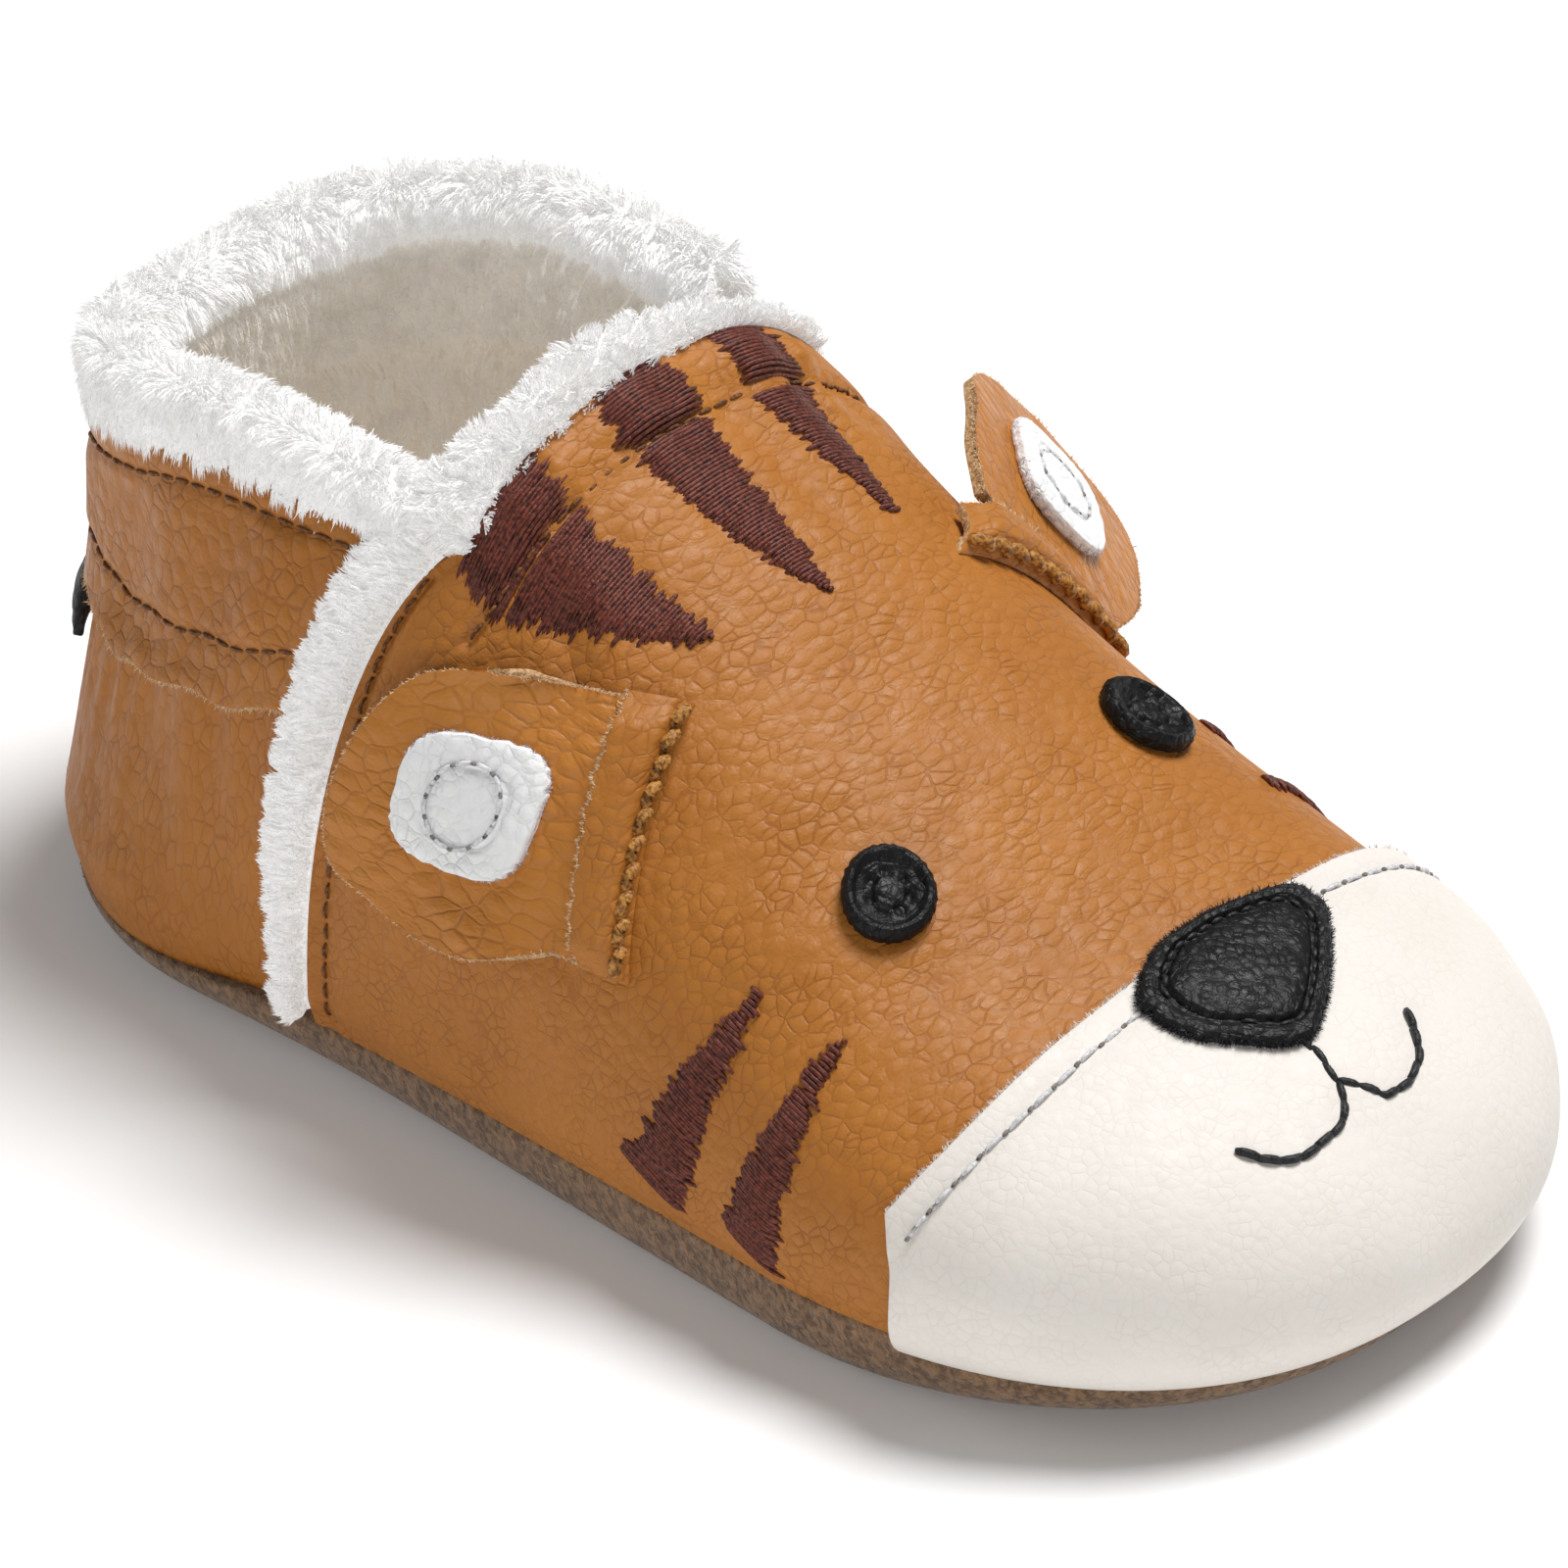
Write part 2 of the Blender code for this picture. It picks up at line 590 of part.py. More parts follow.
def closed_angles(count):
    """Angles once round an outline."""
    return np.linspace(0, 2 * math.pi, count, endpoint=False)


def build_eye(side, x, y, material):
    """Black leather disc with a raised rim."""
    angle = closed_angles(EYE_POINTS)
    slope_x, slope_y = slopes(x, y)
    outline = np.stack([x + EYE_RADIUS * np.cos(angle) / math.hypot(1, slope_x),
                        y + EYE_RADIUS * np.sin(angle) / math.hypot(1, slope_y)], -1)

    def place(plan, height):
        return skin(plan[:, 0], plan[:, 1], GAP + height)

    return patch("eye_left" if side > 0 else "eye_right", outline, place, EYE_PROFILE, material)


def build_nose(material):
    """Black leather patch, a rounded triangle, on the toe cap."""
    angle = closed_angles(NOSE_POINTS)
    across = NOSE_HALF_WIDTH * np.sin(angle) * (NOSE_FULLNESS - NOSE_TAPER * np.cos(angle))
    along = NOSE_LENGTH / 2 * np.cos(angle)
    outline = np.stack([NOSE_X + along + FACE_SKEW * across, NOSE_Y + across], -1)

    def place(plan, height):
        return skin(plan[:, 0], plan[:, 1], TOE_CAP_SEAT + TOE_CAP_THICKNESS + GAP + height)

    return patch("nose", outline, place, NOSE_PROFILE, material)


def vamp_side(x, z):
    """Point on the left side of the vamp at a place along the shoe and a height."""
    y = half_width(x) * round_off((z - BELLY_Z) / rise(x), read(TOP, "power", x))
    return np.stack([x, y, z], -1)


def ear_point(x, z, height, side):
    """Point at a height above the ear's lying place, turned out about the ear's base line."""
    x, z = np.broadcast_arrays(np.asarray(x, float), np.asarray(z, float))
    lying = vamp_side(x, z)
    along = vamp_side(x - LENGTH_STEP, z) - vamp_side(x + LENGTH_STEP, z)
    up = vamp_side(x, z + LENGTH_STEP) - vamp_side(x, z - LENGTH_STEP)
    outward = np.cross(along, up)
    outward /= np.linalg.norm(outward, axis=-1, keepdims=True)
    lying = lying + outward * np.asarray(height)[..., None]
    half = read(EAR, "half_height", EAR_BASE_X)
    centre = read(EAR, "centre_z", EAR_BASE_X)
    low = vamp_side(EAR_BASE_X - EAR_BASE_SLANT, centre - half)
    high = vamp_side(EAR_BASE_X + EAR_BASE_SLANT, centre + half)
    hinge = (high - low) / np.linalg.norm(high - low)
    arm = lying - low
    level = arm - hinge * (arm @ hinge)[..., None]
    behind = np.maximum(-level[..., 0], 0)
    turn = -EAR_FLARE[side] * smooth(behind / EAR_BEND)[..., None]
    swung = arm * np.cos(turn) + np.cross(hinge, arm) * np.sin(turn)
    swung = swung + hinge * (arm @ hinge)[..., None] * (1 - np.cos(turn))
    return (low + swung) * np.array([1, side, 1])


def build_ear(side, material):
    """Leather flap with the sewn strip in front of it."""
    across = np.linspace(-1, 1, EAR_COLUMNS)[None]
    flap = np.linspace(0, 1, EAR_ROWS)
    base_x = EAR_BASE_X + EAR_BASE_SLANT * across
    end_x = EAR_END_X + EAR_END_ROUND * (1 - round_off(np.abs(across), EAR_END_POWER))
    strip_x = base_x + EAR_STRIP["ahead"][:, None]
    flap_x = base_x + (end_x - base_x) * flap[:, None]
    x = np.concatenate([strip_x, flap_x])
    held = np.clip(x, EAR_END_X, EAR_BASE_X)
    z = read(EAR, "centre_z", held) + read(EAR, "half_height", held) * across
    thick = np.concatenate([EAR_STRIP["thickness"], np.full(EAR_ROWS, EAR_THICKNESS)])
    lower = ear_point(x, z, np.full(x.shape, EAR_SEAT), side)
    upper = ear_point(x, z, np.broadcast_to(EAR_SEAT + thick[:, None], x.shape), side)
    return slab("ear_left" if side > 0 else "ear_right", lower, upper, material)


def build_ear_patch(side, material):
    """White leather patch on an ear."""
    angle = closed_angles(PATCH_POINTS)
    turn = np.stack([np.cos(angle), np.sin(angle)], -1)
    square = np.sign(turn) * np.abs(turn) ** (2 / PATCH_SQUARENESS)
    outline = np.array([PATCH_X, PATCH_Z]) + square * np.array([PATCH_HALF_LENGTH, PATCH_HALF_HEIGHT])

    def place(plan, height):
        base = 2 * GAP + EAR_SEAT + EAR_THICKNESS
        return ear_point(plan[:, 0], plan[:, 1], np.full(len(plan), base + height), side)

    name = "ear_patch_left" if side > 0 else "ear_patch_right"
    return patch(name, outline, place, PATCH_PROFILE, material)


def lock(k):
    """Uneven in and out of the fleece locks from one station to the next."""
    uneven, drift = LOCK_UNEVEN["size"] * np.sin(LOCK_UNEVEN["beat"] * k)
    return (0.5 - k % 2) * (LOCK_SWING + uneven) + drift


def build_vamp_trim(side, material):
    """Fleece strip that stands out behind the vamp's side edge."""
    stations = np.concatenate([TRIM_HEM, np.linspace(0, TRIM_TOP, TRIM_STATIONS)])
    rings = []
    for k, w in enumerate(stations):
        width = float(read(TRIM, "width", w)) + LOCK_DEPTH * lock(k)
        u = VAMP_EDGE + share_of(TRIM_SEAT + width * TRIM_PROFILE["across"])
        u = u if side > 0 else 2 - u
        level = np.full(len(u), w)
        lower = offset(quarter, u, level, GAP)
        upper = offset(quarter, u, level, GAP + TRIM_PROFILE["height"])
        rings.append(np.concatenate([lower, upper[::-1]]))
    name = "fleece_trim_left" if side > 0 else "fleece_trim_right"
    return ring_stack(name, rings, material, close_ends=True)


def build_collar(material):
    """Fleece roll over the quarter's top edge, from one corner of the throat round the heel."""
    start = VAMP_EDGE + share_of(COLLAR_END_GAP)
    u = np.linspace(start, 2 - start, COLLAR_STATIONS)
    level = np.ones_like(u)
    top = quarter(u, level)
    ahead = quarter(u + SHARE_STEP, level) - quarter(u - SHARE_STEP, level)
    ahead[:, 2] = 0
    ahead /= np.linalg.norm(ahead, axis=1, keepdims=True)
    outward = np.stack([ahead[:, 1], -ahead[:, 0], np.zeros(len(u))], -1)
    upward = np.array([0.0, 0.0, 1.0])
    from_end = 1 - np.abs(u - 1) / (1 - start)
    grow = COLLAR_END_SCALE + (1 - COLLAR_END_SCALE) * smooth(from_end / COLLAR_TAPER)
    rings = []
    for k in range(len(u)):
        out = COLLAR_SECTION["out"] + COLLAR_SECTION["lock_out"] * LOCK_DEPTH * lock(k)
        up = COLLAR_SECTION["up"] + COLLAR_SECTION["lock_up"] * LOCK_DEPTH * lock(k + 1)
        seat = np.clip(out, COLLAR_SEAT_INNER, COLLAR_SEAT_OUTER)
        out = seat + (out - seat) * grow[k]
        up = COLLAR_SEAT_UP + (up - COLLAR_SEAT_UP) * grow[k]
        rings.append(top[k] + outward[k] * out[:, None] + upward * up[:, None])
    return ring_stack("fleece_collar", rings, material, close_ends=True)


def build_throat_trim(material):
    """Fleece roll that stands up behind the throat fold, between the two ends of the collar."""
    u = np.linspace(-1, 1, THROAT_STATIONS) * VAMP_EDGE * THROAT_TRIM_SHARE
    level = np.ones_like(u)
    edge = vamp(u, level)
    outward = normal(vamp, u, level)
    along = vamp(u + SHARE_STEP, level) - vamp(u - SHARE_STEP, level)
    along /= np.linalg.norm(along, axis=1, keepdims=True)
    back = np.cross(outward, along)
    back *= np.sign(-back[:, :1])
    rings = []
    for k in range(len(u)):
        reach = THROAT_SECTION["back"] + THROAT_SECTION["lock"] * LOCK_DEPTH * lock(k)
        rings.append(edge[k] + back[k] * reach[:, None] + outward[k] * THROAT_SECTION["out"][:, None])
    return ring_stack("fleece_throat", rings, material, close_ends=True)


def main():
    """Make every piece."""
    for thing in list(bpy.data.objects):
        bpy.data.objects.remove(thing, do_unlink=True)
    finish = {name: make_material(name, colour, rough) for name, (colour, rough) in FINISHES.items()}
    build_outsole(finish["suede"])
    build_insole(finish["fleece"])
    build_upper(finish["tan_leather"])
    build_toe_cap(finish["cream_leather"])
    build_collar_band(finish["tan_leather"])
    build_heel_label(finish["black_leather"])
    build_collar(finish["fleece"])
    build_throat_trim(finish["fleece"])
    build_nose(finish["black_leather"])
    for side, x, y in zip(EYES["side"], EYES["x"], EYES["y"]):
        build_eye(side, x, y, finish["black_leather"])
    for side in (-1, 1):
        build_vamp_trim(side, finish["fleece"])
        build_ear(side, finish["tan_leather"])
        build_ear_patch(side, finish["white_leather"])


main()
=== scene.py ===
"""Looks of the baby crawling shoe: leather, fleece, suede, stitches and the sewn animal face.

+X points to the toe, +Y to the shoe's left and +Z up. Sizes are in millimetres and become metres
where a mesh is made. The forms come from the same sizes and functions as the part's source.
"""

import math

import bmesh
import bpy
import numpy as np
from mathutils import Matrix, Vector
from mathutils.kdtree import KDTree


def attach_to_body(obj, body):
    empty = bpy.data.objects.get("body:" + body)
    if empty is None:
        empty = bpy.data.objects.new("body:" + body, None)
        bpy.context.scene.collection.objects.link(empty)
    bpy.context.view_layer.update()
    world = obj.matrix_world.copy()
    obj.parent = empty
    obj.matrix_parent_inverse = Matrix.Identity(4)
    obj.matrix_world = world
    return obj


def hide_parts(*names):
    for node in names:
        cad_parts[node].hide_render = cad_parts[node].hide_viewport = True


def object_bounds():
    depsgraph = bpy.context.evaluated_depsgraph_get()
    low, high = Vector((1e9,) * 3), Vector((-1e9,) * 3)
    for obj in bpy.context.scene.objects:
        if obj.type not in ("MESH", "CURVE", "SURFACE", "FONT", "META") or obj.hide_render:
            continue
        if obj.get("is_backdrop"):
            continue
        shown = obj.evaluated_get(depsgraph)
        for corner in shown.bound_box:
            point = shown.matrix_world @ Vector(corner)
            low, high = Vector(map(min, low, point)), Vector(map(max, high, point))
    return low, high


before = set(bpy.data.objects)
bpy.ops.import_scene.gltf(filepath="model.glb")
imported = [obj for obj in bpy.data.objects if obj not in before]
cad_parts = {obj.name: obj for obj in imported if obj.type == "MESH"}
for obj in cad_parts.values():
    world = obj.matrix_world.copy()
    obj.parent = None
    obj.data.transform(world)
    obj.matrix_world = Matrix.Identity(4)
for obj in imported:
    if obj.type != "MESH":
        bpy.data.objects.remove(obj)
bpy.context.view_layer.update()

MM = 0.001
GAP = 0.3
SHARE_STEP = 0.004
LENGTH_STEP = 0.3
MERGE_DISTANCE = 1e-7
TINY = 1e-9
ROUNDED_FROM = math.radians(50)
ROUNDING_STEPS = 2


def table(columns, rows):
    """Short table with named columns."""
    return {name: np.array(values, float) for name, values in zip(columns.split(), zip(*rows))}


# The last, seen from above: its widest line, the belly, is a rounded toe, two sides and a heel.
TOE_TIP_X = 66.0
BALL_X = 28.0
HEEL_CENTRE_X = -38.0
HEEL_TIP_X = -68.0
TOE_POWER = 2.26
HEEL_POWER = 2.1
TOE_SHARE = 0.325
HEEL_SHARE = 0.27
SIDE = table("x half_width", [(-38, 30.4), (-22, 30.5), (12, 32.2), (28, 33.2)])

# The last, seen from the side: crest of the vamp, roundness of its sections, seam height.
BELLY_Z = 9.0
TOE_BREAK_X = 40.3
TOE_ROUNDNESS = 2.2
TOP = table("x crest power", [(-24, 64.0, 2.1), (-14, 56.2, 2.4), (5, 43.8, 2.25),
                              (24, 32.5, 2.25), (40, 24.6, 2.5), (66, 20.9, 2.6)])
SEAM = table("x height", [(-68, 4.3), (-45, 4.2), (-20, 6.2), (25, 6.9), (66, 6.0)])
TUCK = 1.2
TUCK_ANGLE = math.radians(45)

# Vamp: its rear edge runs from the seam to the corner of the throat and laps over the quarter.
VAMP_EDGE_X = -23.2
THROAT_X = -14.4
THROAT_CORNER_X = -15.3
THROAT_HALF_WIDTH = 21.1
THROAT_SPREAD = 1.8
RIB_BUNCHING = 2.2
LAP = 1.4
LAP_FADE = 0.16

# Quarter: its top edge is an oval round the ankle, lower at the back.
ANKLE_HALF_WIDTH = 20.8
COLLAR_FRONT_HALF_WIDTH = 19.7
COLLAR_HEEL_X = -65.9
COLLAR_POWER = 2.8
QUARTER_LEAN = 2.3
HEEL_LEAN = 1.4
HEEL_LEAN_X = -30.0
HEEL_LEAN_LENGTH = 30.0
HEEL_LEAN_Z = 14.0
HEEL_LEAN_HEIGHT = 20.0
COLLAR = table("x height", [(-65.9, 41.5), (-57.5, 43.5), (-38, 47.6), (-15.3, 48.1)])

# Sole and footbed
SOLE_THICKNESS = 1.8
SOLE_RIM_PROUD = 0.3
SOLE_ROUNDNESS = 2.45
CONTACT = table("x inset", [(-68, 7.3), (-45, 7.5), (0, 3.6), (30, 3.0), (66, 11.0)])
INSOLE_THICKNESS = 2.6

# Overlays on the upper. The face sits a little askew, as it was sewn.
FACE_SKEW = -0.045
TOE_CAP_EDGE_X = 40.3
TOE_CAP_CORNER_X = 37.2
TOE_CAP_CURVE = 6.0
TOE_CAP_SEAT = 0.45
TOE_CAP_THICKNESS = 1.1
BAND_THICKNESS = 1.1
BAND_LOW = table("x height", [(-66, 27.6), (-58, 26.4), (-45, 26.6), (-28, 28.8), (-22, 30.0)])
BAND_BELOW_TOP = 0.5
LABEL_LOW = 19.8
LABEL_HIGH = 25.6
LABEL_HALF_SHARE = 0.115
LABEL_THICKNESS = 0.9
LABEL_BULGE = 1.1
LABEL_RIBS = 0.06
EYES = table("side x y", [(-1, 24.2, -14.8), (1, 22.2, 17.0)])
EYE_RADIUS = 3.85

# Ears: flaps that come out from under a sewn strip, laid on the side of the vamp and then flared.
# The right ear is drawn after the photograph, the left one keeps the outline of its solid.
EAR = {
    -1: {"base_x": 4.5, "slant": -2.7, "end_x": -17.6, "round": 9.7,
         "outline": table("x half_height centre_z", [(-21, 9.5, 25.2), (-12, 9.6, 31.4),
                                                     (-5, 9.9, 31.1), (5, 7.7, 32.3)])},
    1: {"base_x": 4.1, "slant": -1.8, "end_x": -20.6, "round": 8.5,
        "outline": table("x half_height centre_z", [(-21, 9.4, 29.6), (-12, 9.9, 30.4),
                                                    (-5, 10.1, 31.4), (5, 7.2, 33.2)])},
}
EAR_END_POWER = 2.2
EAR_THICKNESS = 1.1
EAR_SEAT = 0.4
EAR_FLARE = math.radians(6)
LEFT_EAR_FLARE = math.radians(45)
LEFT_EAR_TILT = math.radians(-10)
LEFT_EAR_BOW = 0.15
LEFT_EAR_LENGTH = 24.0
EAR_BEND = 7.0
PATCH_X = {-1: -5.9, 1: -7.6}
PATCH_Z = {-1: 32.2, 1: 32.0}
PATCH_HALF_LENGTH = 6.4
PATCH_HALF_HEIGHT = 5.5
PATCH_SQUARENESS = 3.2

# Fleece: strips behind the vamp's edge, a roll over the collar and a roll behind the throat.
TRIM = table("x width", [(-1, 4.6), (0, 5.0), (0.35, 6.8), (0.9, 7.0)])
TRIM_SEAT = 0.4
TRIM_PROFILE = table("across height", [(0.0, 1.9), (0.3, 2.9), (0.7, 2.6), (1.0, 0.9)])
COLLAR_SEAT_INNER = -2.2
COLLAR_SEAT_OUTER = 2.1
COLLAR_SEAT_UP = 0.4
COLLAR_END_SCALE = 0.7
COLLAR_TAPER = 0.25
COLLAR_END_GAP = 1.2


def read(source, column, x):
    """Smooth value of one table column: a cubic through the rows that never overshoots them."""
    knots = source["x"]
    values = source[column]
    step = np.diff(knots)
    slope = np.diff(values) / step
    product = slope[:-1] * slope[1:]
    rising = product > 0
    inner = np.where(rising, 2 * product / np.where(rising, slope[:-1] + slope[1:], 1.0), 0.0)
    tangent = np.concatenate([slope[:1], inner, slope[-1:]])
    x = np.clip(np.asarray(x, float), knots[0], knots[-1])
    k = np.clip(np.searchsorted(knots, x, side="right") - 1, 0, len(step) - 1)
    s = (x - knots[k]) / step[k]
    change = values[k + 1] - values[k]
    ease = s * s * (3 - 2 * s)
    start = s * (1 - s) ** 2 * tangent[k] * step[k]
    end = s * s * (s - 1) * tangent[k + 1] * step[k]
    return values[k] + change * ease + start + end


def smooth(s):
    """Ease from 0 to 1."""
    s = np.clip(s, 0, 1)
    return s * s * (3 - 2 * s)


def round_off(s, power):
    """1 at s = 0, falling to 0 at s = 1 along a superellipse."""
    return (1 - np.clip(s, 0, 1) ** power) ** (1 / power)


def half_width(x):
    """Half width of the belly at x."""
    toe = (x - BALL_X) / (TOE_TIP_X - BALL_X)
    heel = (HEEL_CENTRE_X - x) / (HEEL_CENTRE_X - HEEL_TIP_X)
    return read(SIDE, "half_width", x) * round_off(toe, TOE_POWER) * round_off(heel, HEEL_POWER)


def quarter_turn(share, power):
    """Unit superellipse quarter from (1, 0) to (0, 1)."""
    angle = np.clip(share, 0, 1) * math.pi / 2
    return np.abs(np.cos(angle)) ** (2 / power), np.abs(np.sin(angle)) ** (2 / power)


def fold(u):
    """Place u on the left half: u runs 0 at the toe to 1 at the heel, on to 2 back at the toe."""
    u = np.asarray(u, float)
    u = np.where(u > 1, u - 2, u)
    return np.abs(u), np.where(u < 0, -1.0, 1.0)


def belly(u):
    """Plan of the widest line at u."""
    u, side = fold(u)
    heel_start = 1 - HEEL_SHARE
    toe_x, toe_y = quarter_turn(u / TOE_SHARE, TOE_POWER)
    heel_y, heel_x = quarter_turn((u - heel_start) / HEEL_SHARE, HEEL_POWER)
    middle = np.clip((u - TOE_SHARE) / (heel_start - TOE_SHARE), 0, 1)
    x = BALL_X + (HEEL_CENTRE_X - BALL_X) * middle
    width = read(SIDE, "half_width", x)
    in_toe = u < TOE_SHARE
    in_heel = u > heel_start
    x = np.where(in_toe, BALL_X + (TOE_TIP_X - BALL_X) * toe_x, x)
    x = np.where(in_heel, HEEL_CENTRE_X + (HEEL_TIP_X - HEEL_CENTRE_X) * heel_x, x)
    y = width * np.where(in_toe, toe_y, np.where(in_heel, heel_y, 1.0))
    return np.stack([x, side * y], -1)


def plan_normal(u):
    """Outward direction of the belly line, seen from above."""
    along = belly(u + SHARE_STEP) - belly(u - SHARE_STEP)
    along /= np.linalg.norm(along, axis=-1, keepdims=True)
    return np.stack([along[..., 1], -along[..., 0]], -1)


def share_at_x(x):
    """The u of a point on the straight side."""
    middle = (BALL_X - x) / (BALL_X - HEEL_CENTRE_X)
    return TOE_SHARE + middle * (1 - HEEL_SHARE - TOE_SHARE)


VAMP_EDGE = share_at_x(VAMP_EDGE_X)


def rise(x):
    """Height of the vamp's crest above the belly."""
    toe = (x - TOE_BREAK_X) / (TOE_TIP_X - TOE_BREAK_X)
    return (read(TOP, "crest", x) - BELLY_Z) * round_off(toe, TOE_ROUNDNESS)


def dome(x, y):
    """Height of the vamp above the floor over the plan point x, y."""
    across = np.abs(y) / np.maximum(half_width(x), MERGE_DISTANCE)
    return BELLY_Z + rise(x) * round_off(across, read(TOP, "power", x))


def tuck(foot, outward, w):
    """Wall below the belly, which curls in to the seam: w is -1 at the seam, 0 at the belly."""
    angle = -w * TUCK_ANGLE
    inset = TUCK * (1 - np.cos(angle)) / (1 - math.cos(TUCK_ANGLE))
    plan = foot - outward * inset[..., None]
    drop = (BELLY_Z - read(SEAM, "height", foot[..., 0])) * np.sin(angle) / math.sin(TUCK_ANGLE)
    return np.concatenate([plan, (BELLY_Z - drop)[..., None]], -1)


def throat_plan(u):
    """Plan of the throat's edge, where the ribs that start at u end."""
    share = np.where(np.asarray(u) > 1, np.asarray(u) - 2, u) / VAMP_EDGE
    spread = 1 - np.maximum(1 - np.abs(share), 0) ** THROAT_SPREAD
    y = THROAT_HALF_WIDTH * np.sign(share) * spread
    x = THROAT_X + (THROAT_CORNER_X - THROAT_X) * share ** 2
    return np.stack([x, y], -1)


def ribbed(u, w, foot, edge):
    """Face over ribs from the belly to an edge in plan, with the tuck below the belly."""
    q = np.maximum(w, 0)[..., None] ** RIB_BUNCHING
    plan = foot + (edge - foot) * q
    top = np.concatenate([plan, dome(plan[..., 0], plan[..., 1])[..., None]], -1)
    return np.where(w[..., None] < 0, tuck(foot, plan_normal(u), np.minimum(w, 0)), top)


def vamp(u, w):
    """Outer face of the vamp: w is -1 at the seam, 0 at the belly and 1 at the throat."""
    u, w = np.broadcast_arrays(np.asarray(u, float), np.asarray(w, float))
    foot = belly(u)
    return ribbed(u, w, foot, throat_plan(u))


def collar_plan(u):
    """Plan of the quarter's top edge."""
    u, side = fold(u)
    front = (u - VAMP_EDGE) / (1 - HEEL_SHARE - VAMP_EDGE)
    x = THROAT_CORNER_X + (HEEL_CENTRE_X - THROAT_CORNER_X) * front
    y = COLLAR_FRONT_HALF_WIDTH + (ANKLE_HALF_WIDTH - COLLAR_FRONT_HALF_WIDTH) * smooth(front)
    heel_y, heel_x = quarter_turn((u - 1 + HEEL_SHARE) / HEEL_SHARE, COLLAR_POWER)
    in_heel = u > 1 - HEEL_SHARE
    x = np.where(in_heel, HEEL_CENTRE_X + (COLLAR_HEEL_X - HEEL_CENTRE_X) * heel_x, x)
    y = np.where(in_heel, ANKLE_HALF_WIDTH * heel_y, y)
    return np.stack([x, side * y], -1)


def plain_quarter(u, w, fade):
    """Quarter before it is fitted under the vamp's edge."""
    outward = plan_normal(u)
    foot = belly(u) - outward * (LAP * fade)[..., None]
    top = collar_plan(u)
    lean = 1 - (1 - np.clip(w, 0, 1)) ** QUARTER_LEAN
    plan = foot + (top - foot) * lean[..., None]
    height = BELLY_Z + (read(COLLAR, "height", top[..., 0]) - BELLY_Z) * w
    upper_part = np.concatenate([plan, height[..., None]], -1)
    return np.where(w[..., None] < 0, tuck(foot, outward, np.minimum(w, 0)), upper_part)


def quarter(u, w):
    """Outer face of the quarter, which passes under the vamp at both of its front edges."""
    u, w = np.broadcast_arrays(np.asarray(u, float), np.asarray(w, float))
    left = u <= 1
    edge = np.where(left, VAMP_EDGE, 2 - VAMP_EDGE)
    fade = smooth(1 - np.abs(u - edge) / LAP_FADE)
    fitted = offset(vamp, edge, w, -LAP) - plain_quarter(edge, w, np.ones_like(w))
    point = plain_quarter(u, w, fade) + fitted * fade[..., None]
    back = smooth((HEEL_LEAN_X - point[..., 0]) / HEEL_LEAN_LENGTH)
    high = smooth((point[..., 2] - HEEL_LEAN_Z) / HEEL_LEAN_HEIGHT)
    return point + (back * high)[..., None] * np.array([HEEL_LEAN, 0, 0])


def normal(surface, u, w):
    """Outward normal of a surface."""
    along = surface(u + SHARE_STEP, w) - surface(u - SHARE_STEP, w)
    up = surface(u, w + SHARE_STEP) - surface(u, w - SHARE_STEP)
    across = np.cross(along, up)
    return across / np.linalg.norm(across, axis=-1, keepdims=True)


def offset(surface, u, w, distance):
    """Point of a surface moved along its normal."""
    u, w = np.broadcast_arrays(np.asarray(u, float), np.asarray(w, float))
    distance = np.broadcast_to(np.asarray(distance, float), u.shape)
    return surface(u, w) + normal(surface, u, w) * distance[..., None]


def toe_cap_edge(y):
    """x of the toe cap's rear edge."""
    reach = np.abs(y) / half_width(TOE_CAP_CORNER_X)
    straight = TOE_CAP_EDGE_X + (TOE_CAP_CORNER_X - TOE_CAP_EDGE_X) * reach ** TOE_CAP_CURVE
    return straight + FACE_SKEW * y * (1 - reach ** TOE_CAP_CURVE)


def toe_cap(s, w):
    """Vamp face under the toe cap: s runs -1 to 1 round the toe, w from the seam to the cap's edge."""
    s, w = np.broadcast_arrays(np.asarray(s, float), np.asarray(w, float))
    corner = half_width(TOE_CAP_CORNER_X)
    corner_turn = math.asin((corner / half_width(BALL_X)) ** (TOE_POWER / 2)) / (math.pi / 2)
    u = s * TOE_SHARE * corner_turn
    foot = belly(u)
    edge = np.stack([toe_cap_edge(corner * s), corner * s], -1)
    return ribbed(u, w, foot, edge)


def skin(x, y, height):
    """Point at a height above the vamp over a plan point."""
    slope_x, slope_y = slopes(x, y)
    across = np.stack([-slope_x, -slope_y, np.ones_like(slope_x)], -1)
    across /= np.linalg.norm(across, axis=-1, keepdims=True)
    return np.stack([x, y, dome(x, y)], -1) + across * np.asarray(height)[..., None]


def slopes(x, y):
    """Slopes of the vamp along and across the shoe."""
    along = dome(x + LENGTH_STEP, y) - dome(x - LENGTH_STEP, y)
    across = dome(x, y + LENGTH_STEP) - dome(x, y - LENGTH_STEP)
    return along / (2 * LENGTH_STEP), across / (2 * LENGTH_STEP)


def share_of(length):
    """Step of u along the straight side for a length."""
    return length * (1 - HEEL_SHARE - TOE_SHARE) / (BALL_X - HEEL_CENTRE_X)


def vamp_side(x, z):
    """Point on the left side of the vamp at a place along the shoe and a height."""
    y = half_width(x) * round_off((z - BELLY_Z) / rise(x), read(TOP, "power", x))
    return np.stack([x, y, z], -1)


